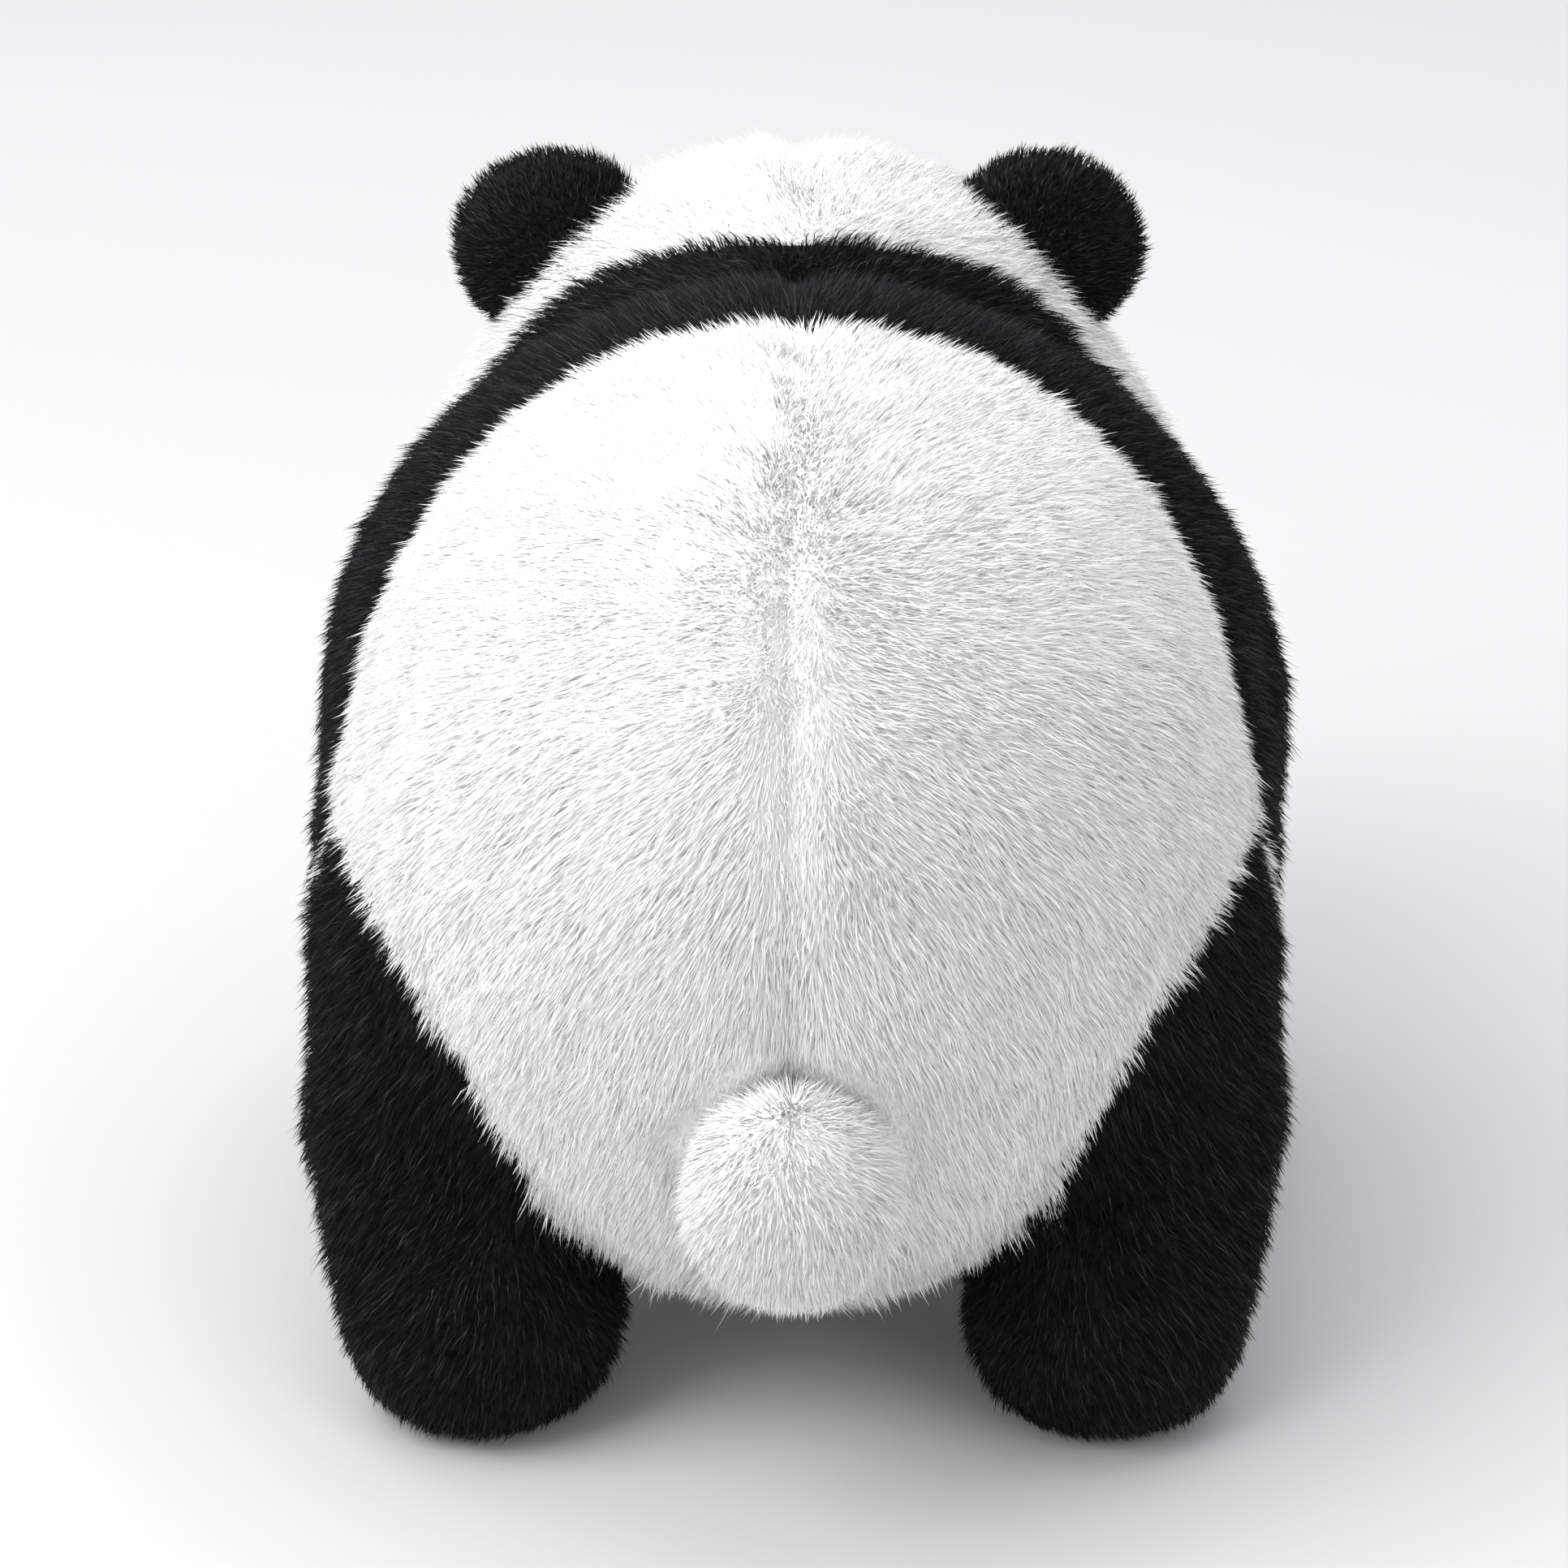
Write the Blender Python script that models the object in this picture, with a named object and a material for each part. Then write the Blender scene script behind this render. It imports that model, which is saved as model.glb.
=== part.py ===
"""Plush panda on all fours: plush panels, stuffing, soles, safety eyes and nose.

The toy faces -Y, its rump is at +Y and +X is its left side. It stands on the
plane z = 0 with the origin on that plane under the middle of its outline.
All lengths are metres.
"""
import math

import bmesh
import bpy
import numpy as np
from mathutils import Matrix, Vector

# ------------------------------------------------------------------ dimensions
PANEL = 0.0030          # thickness of a plush panel (backing and combed pile)
GAP = 0.0004            # air between pieces that touch
SEAM = 0.0003           # half of the slit between two panels
SWING_CLEAR = 0.0012    # room round a piece that swings

RUMP_C, RUMP_R = (0.0, 0.088, 0.154), (0.118, 0.113, 0.119)
CHEST_C, CHEST_R = (0.0, -0.010, 0.152), (0.133, 0.102, 0.119)
BODY_BLEND = 0.062
HIP_C, HIP_R = (0.072, 0.065, 0.118), (0.052, 0.062, 0.058)
SHOULDER_C, SHOULDER_R = (0.077, -0.027, 0.114), (0.045, 0.059, 0.070)
LIMB_BLEND = 0.030

# legs: a round top that turns on the joint, and a tapering shank to the foot
HIND_TOP_C, HIND_TOP_R = (0.076, 0.091, 0.100), (0.044, 0.048, 0.048)
HIND_KNEE, HIND_KNEE_R = (0.091, 0.097, 0.072), 0.043
HIND_FOOT, HIND_FOOT_R = (0.0850, 0.125, 0.0270), 0.0415
FORE_TOP_C, FORE_TOP_R = (0.084, -0.018, 0.088), (0.042, 0.042, 0.042)
FORE_KNEE, FORE_KNEE_R = (0.092, -0.044, 0.064), 0.0425
FORE_FOOT, FORE_FOOT_R = (0.0970, -0.067, 0.0270), 0.0415
LEG_BLEND = 0.024
SOLE = 0.0035
LEG_SWING = 12.0

HEAD_C, HEAD_R = (0.0, -0.111, 0.192), (0.0945, 0.0885, 0.0885)
CHEEK_C, CHEEK_R = (0.0565, -0.107, 0.164), (0.0590, 0.0560, 0.0520)
MUZZLE_C, MUZZLE_R = (0.0, -0.187, 0.166), (0.041, 0.032, 0.031)
HEAD_BLEND = 0.034
MUZZLE_BLEND = 0.014
NECK_PIVOT = (0.0, -0.100, 0.182)
NECK_IN, NECK_OUT = 0.060, 0.0745   # the neck's stuffing is a cap between two spheres
NECK_CAP, NECK_FREE = 36.0, 52.0    # half angle of the cap, and of the room it has in the head
NECK_DIP = 12.0                     # the cap looks this far below the horizontal
NOD_DOWN, NOD_UP = 8.0, 8.0
TURN = 9.0

EAR_C, EAR_R = (0.0735, -0.119, 0.2500), (0.0315, 0.0115, 0.0305)
EAR_TILT = 30.0
EAR_ROOT = 0.020        # from the ear's middle down to its fold line
EAR_BACK, EAR_FORWARD = 20.0, 25.0

TAIL_C, TAIL_R = (0.0, 0.198, 0.098), (0.029, 0.027, 0.031)
TAIL_PIVOT = (0.0, 0.177, 0.106)
TAIL_SWING = 15.0

# the slit between the white rump and the black shoulders, as (y, z) from the
# back down the flank to the belly, and the slit in front of it at the throat
BAND_EDGE = [(0.013, 0.290), (0.017, 0.272), (0.035, 0.240), (0.053, 0.207),
             (0.073, 0.168), (0.079, 0.150), (0.067, 0.128), (0.041, 0.104),
             (0.023, 0.078), (0.019, 0.052), (0.019, 0.020)]
GUSSET_HALF, GUSSET_TOP = 0.030, 0.078

EYE_X, EYE_Z, EYE_R, EYE_H = 0.0370, 0.2030, 0.0080, 0.0055
EYE_PATCH_X, EYE_PATCH_Z = 0.0410, 0.1995
EYE_PATCH_R, EYE_PATCH_TILT = (0.0175, 0.0235), 32.0
PATCH_THICK = 0.0022
EYE_SEAT = PATCH_THICK + 0.0022     # the eye's back above the face panel
NOSE_Z, NOSE_R, NOSE_H = 0.1800, (0.0155, 0.0105), 0.0075
SHANK_R, SHANK_L = 0.0024, 0.0140
WASHER_R, NOSE_WASHER_R, WASHER_T = 0.0085, 0.0065, 0.0022
STITCH_R = 0.0011

WHITE = (0.92, 0.915, 0.89, 1.0)
BLACK = (0.012, 0.012, 0.014, 1.0)
FILL = (0.93, 0.93, 0.92, 1.0)
GLOSS = (0.006, 0.005, 0.005, 1.0)
NATURAL = (0.80, 0.80, 0.78, 1.0)
THREAD = (0.015, 0.014, 0.015, 1.0)

for old in list(bpy.data.objects):
    bpy.data.objects.remove(old, do_unlink=True)


# --------------------------------------------------------------- soft form rules
def ellipsoid(p, c, r):
    """Distance-like value of an ellipsoid: negative inside, zero on it."""
    q = p - np.array(c)
    r = np.array(r)
    k0 = np.linalg.norm(q / r, axis=-1)
    k1 = np.linalg.norm(q / (r * r), axis=-1)
    return k0 * (k0 - 1.0) / np.maximum(k1, 1e-6)


def taper(p, a, b, ra, rb):
    """Distance to a round-ended cone from a to b."""
    a, b = np.array(a, float), np.array(b, float)
    ba = b - a
    length2 = ba @ ba
    t = np.clip(((p - a) @ ba) / length2, 0.0, 1.0)
    near = a + t[..., None] * ba
    return np.linalg.norm(p - near, axis=-1) - (ra + (rb - ra) * t)


def blend(a, b, k):
    """Smooth union of two distances with a fillet of about k."""
    h = np.maximum(k - np.abs(a - b), 0.0) / k
    return np.minimum(a, b) - h * h * k * 0.25


def mirrored(p):
    q = np.array(p, float)
    q[..., 0] = np.abs(q[..., 0])
    return q


def body_field(p):
    q = mirrored(p)
    d = blend(ellipsoid(q, RUMP_C, RUMP_R), ellipsoid(q, CHEST_C, CHEST_R), BODY_BLEND)
    d = blend(d, ellipsoid(q, HIP_C, HIP_R), LIMB_BLEND)
    return blend(d, ellipsoid(q, SHOULDER_C, SHOULDER_R), LIMB_BLEND)


def hind_field(p):
    """The left hind leg; the right one is its mirror image."""
    q = np.array(p, float)
    return blend(ellipsoid(q, HIND_TOP_C, HIND_TOP_R),
                 taper(q, HIND_KNEE, HIND_FOOT, HIND_KNEE_R, HIND_FOOT_R), LEG_BLEND)


def fore_field(p):
    """The left front leg."""
    q = np.array(p, float)
    return blend(ellipsoid(q, FORE_TOP_C, FORE_TOP_R),
                 taper(q, FORE_KNEE, FORE_FOOT, FORE_KNEE_R, FORE_FOOT_R), LEG_BLEND)


def head_field(p):
    q = mirrored(p)
    d = blend(ellipsoid(q, HEAD_C, HEAD_R), ellipsoid(q, CHEEK_C, CHEEK_R), HEAD_BLEND)
    return blend(d, ellipsoid(q, MUZZLE_C, MUZZLE_R), MUZZLE_BLEND)


def tail_field(p):
    return ellipsoid(np.array(p, float), TAIL_C, TAIL_R)


# ------------------------------------------------------------------ mesh helpers
def link(name, mesh):
    obj = bpy.data.objects.new(name, mesh)
    bpy.context.scene.collection.objects.link(obj)
    return obj


def from_bmesh(name, bm):
    bmesh.ops.recalc_face_normals(bm, faces=bm.faces[:])
    mesh = bpy.data.meshes.new(name)
    bm.to_mesh(mesh)
    bm.free()
    return link(name, mesh)


def as_cutter(obj):
    obj.hide_render = True
    obj.display_type = 'WIRE'
    return obj


AXES = {'X': Matrix.Rotation(math.radians(90), 3, 'Y'),
        'Y': Matrix.Rotation(math.radians(90), 3, 'X'),
        'Z': Matrix.Identity(3)}


def soft_form(name, field, centre, segments, rings, offset=0.0, pole='Z', reach=0.30):
    """A UV sphere whose vertices are drawn out along their rays to the form."""
    bm = bmesh.new()
    bmesh.ops.create_uvsphere(bm, u_segments=segments, v_segments=rings, radius=1.0)
    bmesh.ops.rotate(bm, verts=bm.verts[:], matrix=AXES[pole], cent=(0, 0, 0))
    ways = np.array([v.co.normalized()[:] for v in bm.verts])
    c = np.array(centre, float)
    steps = np.linspace(0.0, reach, 121)
    values = np.stack([field(c + ways * t) for t in steps]) - offset
    inside = values < 0.0
    last = inside.shape[0] - 1 - np.argmax(inside[::-1], axis=0)
    lo, hi = steps[last], steps[np.minimum(last + 1, len(steps) - 1)]
    for _ in range(26):
        mid = 0.5 * (lo + hi)
        is_in = field(c + ways * mid[:, None]) - offset < 0.0
        lo, hi = np.where(is_in, mid, lo), np.where(is_in, hi, mid)
    bmesh.ops.triangulate(bm, faces=bm.faces[:], quad_method='FIXED')
    for v, way, t in zip(bm.verts, ways, lo):
        v.co = c + way * t
    if c[0] == 0.0:
        # the two sides are one another's mirror image, facet for facet
        bmesh.ops.delete(bm, geom=[v for v in bm.verts if v.co.x < -1e-5], context='VERTS')
        for v in bm.verts:
            v.co.x = 0.0 if abs(v.co.x) < 1e-5 else v.co.x
        bmesh.ops.mirror(bm, geom=bm.verts[:] + bm.edges[:] + bm.faces[:], matrix=Matrix.Identity(4),
                         merge_dist=1e-6, axis='X')
    return from_bmesh(name, bm)


def box(name, lo, hi):
    bm = bmesh.new()
    bmesh.ops.create_cube(bm, size=1.0)
    for v in bm.verts:
        v.co = [l + (c + 0.5) * (h - l) for c, l, h in zip(v.co, lo, hi)]
    return as_cutter(from_bmesh(name, bm))


def prism(name, outline, x0, x1):
    """A (y, z) outline extruded from x0 to x1."""
    bm = bmesh.new()
    face = bm.faces.new([bm.verts.new((x0, y, z)) for y, z in outline])
    out = bmesh.ops.extrude_face_region(bm, geom=[face])
    for v in (g for g in out['geom'] if isinstance(g, bmesh.types.BMVert)):
        v.co.x = x1
    return as_cutter(from_bmesh(name, bm))


def hull(name, points, thin=0.009):
    """The convex wrap of the points, with its crowded corners thinned out."""
    bm = bmesh.new()
    for p in points:
        bm.verts.new(p)
    for last in (False, True):
        bmesh.ops.convex_hull(bm, input=bm.verts[:])
        bmesh.ops.delete(bm, geom=[v for v in bm.verts if not v.link_faces], context='VERTS')
        if not last:
            bmesh.ops.remove_doubles(bm, verts=bm.verts[:], dist=thin)
            bmesh.ops.delete(bm, geom=bm.faces[:] + bm.edges[:], context='EDGES_FACES')
    return as_cutter(from_bmesh(name, bm))


def turned(points, pivot, axis, degrees):
    rot = Matrix.Rotation(math.radians(degrees), 3, Vector(axis))
    pivot = Vector(pivot)
    return [tuple(pivot + rot @ (Vector(p) - pivot)) for p in points]


def spun(name, profile, steps, place):
    """A profile of (radius, height) pairs spun round Z, then put in place."""
    bm = bmesh.new()
    verts = [bm.verts.new((r, 0.0, z)) for r, z in profile]
    edges = [bm.edges.new((verts[i], verts[i + 1])) for i in range(len(verts) - 1)]
    if profile[0][0] > 0.0 or profile[-1][0] > 0.0:
        edges.append(bm.edges.new((verts[-1], verts[0])))
    bmesh.ops.spin(bm, geom=verts + edges, axis=(0, 0, 1), cent=(0, 0, 0),
                   angle=math.tau, steps=steps, use_duplicate=False)
    bmesh.ops.remove_doubles(bm, verts=bm.verts[:], dist=1e-6)
    bmesh.ops.transform(bm, verts=bm.verts[:], matrix=place)
    return from_bmesh(name, bm)


def applied(obj):
    """Fix an object's modifiers into its mesh."""
    graph = bpy.context.evaluated_depsgraph_get()
    graph.update()
    mesh = bpy.data.meshes.new_from_object(obj.evaluated_get(graph))
    old = obj.data
    obj.modifiers.clear()
    obj.data = mesh
    bpy.data.meshes.remove(old)
    mesh.name = obj.name
    return obj


def boolean(obj, cutter, operation='DIFFERENCE'):
    mod = obj.modifiers.new(operation.lower(), 'BOOLEAN')
    mod.operation = operation
    mod.solver = 'EXACT'
    mod.object = cutter
    return applied(obj)


def copy_of(obj, name):
    return link(name, obj.data.copy())


def opposite(obj, name):
    """The same piece for the other side of the toy."""
    twin = link(name, obj.data.copy())
    twin.data.transform(Matrix.Translation(obj.location))
    twin.data.transform(Matrix.Diagonal((-1.0, 1.0, 1.0, 1.0)))
    twin.data.flip_normals()
    place = Vector((-obj.location.x, obj.location.y, obj.location.z))
    twin.data.transform(Matrix.Translation(-place))
    twin.location = place
    return twin


def drop(*objects):
    for obj in objects:
        bpy.data.objects.remove(obj, do_unlink=True)


def merged(obj, dist=2e-5):
    """Weld the slivers that a cut leaves, where that keeps the skin closed."""
    bm = bmesh.new()
    bm.from_mesh(obj.data)
    bmesh.ops.remove_doubles(bm, verts=bm.verts[:], dist=dist)
    bmesh.ops.dissolve_degenerate(bm, edges=bm.edges[:], dist=dist)
    if all(len(e.link_faces) == 2 for e in bm.edges) and len(bm.faces):
        bm.to_mesh(obj.data)
    bm.free()
    return obj


MATERIALS = {}


def material(name, colour, roughness, metallic=0.0):
    if name not in MATERIALS:
        mat = bpy.data.materials.new(name)
        mat.use_nodes = True
        shader = mat.node_tree.nodes['Principled BSDF']
        shader.inputs['Base Color'].default_value = colour
        shader.inputs['Roughness'].default_value = roughness
        shader.inputs['Metallic'].default_value = metallic
        mat.diffuse_color = colour
        MATERIALS[name] = mat
    return MATERIALS[name]


def finish(obj, mat, pivot=None, axis=None):
    """Give a piece its material, smooth shading and its joint's origin."""
    obj.data.materials.clear()
    obj.data.materials.append(mat)
    obj.data.shade_smooth()
    obj.data.set_sharp_from_angle(angle=math.radians(40))
    if pivot is not None:
        obj.data.transform(Matrix.Translation(-Vector(pivot)))
        obj.location = pivot
    return obj


white_plush = material('white_plush', WHITE, 0.95)
black_plush = material('black_plush', BLACK, 0.92)
polyester_fill = material('polyester_fill', FILL, 1.0)
black_plastic = material('black_plastic', GLOSS, 0.08)
washer_plastic = material('washer_plastic', NATURAL, 0.45)
embroidery = material('embroidery_thread', THREAD, 0.6)

# facets round and along each soft form
BODY_MESH, HEAD_MESH, LEG_MESH, TAIL_MESH, EAR_MESH = (24, 14), (24, 13), (14, 9), (16, 8), (12, 7)

BODY_MID = (0.0, 0.039, 0.148)
HEAD_MID = (0.0, -0.115, 0.184)
HIND_MID = (0.084, 0.107, 0.066)
FORE_MID = (0.090, -0.042, 0.060)


def side(p, s):
    return (p[0] * s, p[1], p[2])


# ------------------------------------------------------- forms and swept clearances
body_outer = soft_form('body_outer', body_field, BODY_MID, *BODY_MESH, 0.0, 'Y')
body_inner = soft_form('body_inner', body_field, BODY_MID, *BODY_MESH, -PANEL, 'Y')
body_fill = soft_form('body_fill', body_field, BODY_MID, *BODY_MESH, -PANEL - GAP, 'Y')
head_outer = soft_form('head_outer', head_field, HEAD_MID, *HEAD_MESH, 0.0, 'Y')
head_inner = soft_form('head_inner', head_field, HEAD_MID, *HEAD_MESH, -PANEL, 'Y')
head_fill = soft_form('head_fill', head_field, HEAD_MID, *HEAD_MESH, -PANEL - GAP, 'Y')

head_points = [v.co[:] for v in soft_form('head_room', head_field, HEAD_MID, 20, 12,
                                          SWING_CLEAR + 0.0024, 'Y').data.vertices]
head_points = [p for p in head_points if p[1] > -0.163]
swept = []
for nod in (-NOD_UP, 0.0, NOD_DOWN):
    for turn in (-TURN, 0.0, TURN):
        swept += turned(turned(head_points, NECK_PIVOT, (0, 0, 1), turn), NECK_PIVOT, (1, 0, 0), nod)
head_room = hull('head_room_hull', swept)

tail_points = [v.co[:] for v in soft_form('tail_room', tail_field, TAIL_C, 16, 8,
                                          SWING_CLEAR + 0.0006, 'Y').data.vertices]
swept = []
for angle in np.linspace(-TAIL_SWING, TAIL_SWING, 3):
    swept += turned(tail_points, TAIL_PIVOT, (1, 0, 0), angle)
tail_room = hull('tail_room_hull', swept)

leg_rooms = []
for label, field, mid, hip in (('hind', hind_field, HIND_MID, HIND_TOP_C),
                               ('fore', fore_field, FORE_MID, FORE_TOP_C)):
    pts = [v.co[:] for v in soft_form(label + '_room', field, mid, 12, 9,
                                      SWING_CLEAR + 0.0030, 'Z', 0.15).data.vertices]
    swept = []
    for angle in np.linspace(-LEG_SWING, LEG_SWING, 5):
        swept += turned(pts, hip, (1, 0, 0), angle)
    leg_rooms.append(hull(label + '_room_hull_1', swept))
    leg_rooms.append(hull(label + '_room_hull_2', [(-x, y, z) for x, y, z in swept]))



def cap_profile(r0, r1, half_angle, steps=8):
    """The (radius, height) outline of a spherical shell's cap round the height axis."""
    arc = np.radians(np.linspace(0.0, half_angle, steps))
    return [(r0 * math.sin(t), r0 * math.cos(t)) for t in arc] + \
           [(r1 * math.sin(t), r1 * math.cos(t)) for t in arc[::-1]]


neck_frame = Matrix.Rotation(math.radians(-90.0 - NECK_DIP), 4, 'X')
neck_room = as_cutter(spun('neck_room', cap_profile(NECK_IN, 0.125, NECK_FREE, 6), 20,
                           Matrix.Translation(NECK_PIVOT) @ neck_frame))

# --------------------------------------------------------------------- the body
shell = copy_of(body_outer, 'body_shell')
boolean(shell, body_inner)
for cutter in [head_room, tail_room] + leg_rooms:
    boolean(shell, cutter)
merged(shell)

front_outline = BAND_EDGE + [(-0.40, 0.020), (-0.40, 0.290)]
rear_outline = BAND_EDGE + [(0.40, 0.020), (0.40, 0.290)]


def shifted(outline, dy):
    return [(y + dy if abs(y) < 0.39 else y, z) for y, z in outline]


front_zone = prism('front_zone', shifted(front_outline, -SEAM), -0.3, 0.3)
rear_zone = prism('rear_zone', shifted(rear_outline, SEAM), -0.3, 0.3)
gusset_zone = box('gusset_zone', (-GUSSET_HALF, -0.3, -0.1), (GUSSET_HALF, 0.3, GUSSET_TOP))
gusset_room = box('gusset_room', (-GUSSET_HALF - 2 * SEAM, -0.3, -0.1),
                  (GUSSET_HALF + 2 * SEAM, 0.3, GUSSET_TOP + 2 * SEAM))
left_half = box('left_half', (SEAM, -0.4, -0.1), (0.3, 0.4, 0.5))
for zone, name, mat in ((rear_zone, 'rump_panel_', white_plush), (front_zone, 'shoulder_panel_', black_plush)):
    panel = copy_of(shell, name + 'left')
    boolean(panel, zone, 'INTERSECT')
    boolean(panel, gusset_room)
    boolean(panel, left_half, 'INTERSECT')
    finish(merged(panel), mat)
    opposite(panel, name + 'right')
for zone, name, mat in ((rear_zone, 'belly_panel', white_plush), (front_zone, 'chest_panel', black_plush)):
    panel = copy_of(shell, name)
    boolean(panel, zone, 'INTERSECT')
    boolean(panel, gusset_zone, 'INTERSECT')
    finish(merged(panel), mat)

body_stuffing = copy_of(body_fill, 'body_stuffing')
for cutter in [head_room, tail_room] + leg_rooms:
    boolean(body_stuffing, cutter)
finish(merged(body_stuffing), polyester_fill)

neck_stuffing = spun('neck_stuffing', cap_profile(NECK_IN + 0.0008, NECK_OUT, NECK_CAP, 6), 18, neck_frame)
neck_stuffing.location = NECK_PIVOT
finish(neck_stuffing, polyester_fill)

# --------------------------------------------------------------------- the legs
for label, field, mid, hip, foot in (('hind', hind_field, HIND_MID, HIND_TOP_C, HIND_FOOT),
                                     ('front', fore_field, FORE_MID, FORE_TOP_C, FORE_FOOT)):
    left, right = '%s_leg_left_' % label, '%s_leg_right_' % label
    outer, inner, fill = (soft_form(label + word, field, mid, *LEG_MESH, depth, 'Z', 0.15)
                          for word, depth in (('_outer_form', 0.0), ('_inner_form', -PANEL),
                                              ('_fill_form', -PANEL - GAP)))
    above = box(label + '_above', (-0.3, -0.4, SOLE + GAP), (0.3, 0.4, 0.5))
    ground = box(label + '_ground', (-0.3, -0.4, 0.0), (0.3, 0.4, SOLE))
    crown = box(label + '_crown', (-0.3, -0.4, hip[2] + 0.012), (0.3, 0.4, 0.5))
    sleeve = copy_of(outer, label + '_sleeve')
    boolean(sleeve, inner)
    boolean(sleeve, above, 'INTERSECT')
    boolean(sleeve, crown)
    merged(sleeve)
    for word, x0, x1 in (('outer_panel', foot[0] + SEAM, 0.35), ('inner_panel', -0.35, foot[0] - SEAM)):
        half = box(label + '_half', (x0, -0.4, -0.1), (x1, 0.4, 0.5))
        cover = copy_of(sleeve, left + word)
        boolean(cover, half, 'INTERSECT')
        finish(merged(cover), black_plush, hip)
        opposite(cover, right + word)
        drop(half)
    sole = copy_of(outer, left + 'sole')
    boolean(sole, ground, 'INTERSECT')
    finish(merged(sole), black_plush, hip)
    opposite(sole, right + 'sole')
    stuffing = copy_of(fill, left + 'stuffing')
    boolean(stuffing, above, 'INTERSECT')
    finish(merged(stuffing), polyester_fill, hip)
    opposite(stuffing, right + 'stuffing')
    drop(outer, inner, fill, sleeve, above, ground, crown)

# --------------------------------------------------------------------- the tail
tail_outer = soft_form('tail_outer', tail_field, TAIL_C, *TAIL_MESH, 0.0, 'Y')
tail_inner = soft_form('tail_inner', tail_field, TAIL_C, *TAIL_MESH, -PANEL, 'Y')
tail_shell = copy_of(tail_outer, 'tail_shell')
boolean(tail_shell, tail_inner)
tail_cover = copy_of(tail_shell, 'tail_cover_left')
boolean(tail_cover, left_half, 'INTERSECT')
finish(merged(tail_cover), white_plush, TAIL_PIVOT)
opposite(tail_cover, 'tail_cover_right')
tail_stuffing = soft_form('tail_stuffing', tail_field, TAIL_C, *TAIL_MESH, -PANEL - GAP, 'Y')
finish(tail_stuffing, polyester_fill, TAIL_PIVOT)

# --------------------------------------------------------------------- the ears
tilt = math.radians(EAR_TILT)
up = Vector((math.sin(tilt), 0.0, math.cos(tilt)))
fold = Vector((math.cos(tilt), 0.0, -math.sin(tilt)))
ear_pivot = Vector(EAR_C) - up * EAR_ROOT


def ear_form(name, grow):
    bm = bmesh.new()
    bmesh.ops.create_uvsphere(bm, u_segments=EAR_MESH[0], v_segments=EAR_MESH[1], radius=1.0)
    bmesh.ops.rotate(bm, verts=bm.verts[:], matrix=AXES['Y'], cent=(0, 0, 0))
    bmesh.ops.scale(bm, verts=bm.verts[:], vec=[r + grow for r in EAR_R])
    bmesh.ops.transform(bm, verts=bm.verts[:],
                        matrix=Matrix.Translation(EAR_C) @ Matrix.Rotation(tilt, 4, 'Y'))
    return from_bmesh(name, bm)


ear_outer, ear_inner = ear_form('ear_outer', 0.0), ear_form('ear_inner', -0.0026)
boolean(ear_outer, ear_inner)
for word, lo, hi in (('front', -0.4, EAR_C[1] - SEAM), ('back', EAR_C[1] + SEAM, 0.4)):
    half = box('ear_half', (-0.3, lo, -0.1), (0.3, hi, 0.5))
    cup = copy_of(ear_outer, 'ear_left_' + word)
    boolean(cup, half, 'INTERSECT')
    finish(merged(cup), black_plush, ear_pivot)
    opposite(cup, 'ear_right_' + word)
    drop(half)
ear_room = ear_form('ear_room', 0.0017)
swept = []
for angle in np.linspace(-EAR_BACK, EAR_FORWARD, 4):
    swept += turned([v.co[:] for v in ear_room.data.vertices], ear_pivot, fold, angle)
ear_rooms = [hull('ear_room_hull_1', swept, 0.005),
             hull('ear_room_hull_2', [(-x, y, z) for x, y, z in swept], 0.005)]
drop(ear_outer, ear_inner, ear_room)

# ------------------------------------------------------------- eyes, nose and mouth
def gradient(field, p):
    e = 1e-4
    n = [float(field(np.array([[p[0] + e * (i == 0), p[1] + e * (i == 1), p[2] + e * (i == 2)]]))[0] -
               field(np.array([[p[0] - e * (i == 0), p[1] - e * (i == 1), p[2] - e * (i == 2)]]))[0])
         for i in range(3)]
    return Vector(n).normalized()


def front_point(x, z, offset=0.0):
    """The head's surface straight in front at (x, z)."""
    ys = np.linspace(-0.27, -0.09, 721)
    pts = np.stack([np.full_like(ys, x), ys, np.full_like(ys, z)], axis=-1)
    inside = head_field(pts) - offset < 0.0
    i = int(np.argmax(inside))
    lo, hi = ys[i - 1], ys[i]
    for _ in range(24):
        mid = 0.5 * (lo + hi)
        if head_field(np.array([[x, mid, z]]))[0] - offset < 0.0:
            hi = mid
        else:
            lo = mid
    return Vector((x, hi, z))


def facing(p, n):
    """A frame at p whose Z axis points along n."""
    return Matrix.Translation(p) @ n.to_track_quat('Z', 'Y').to_matrix().to_4x4()


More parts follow.
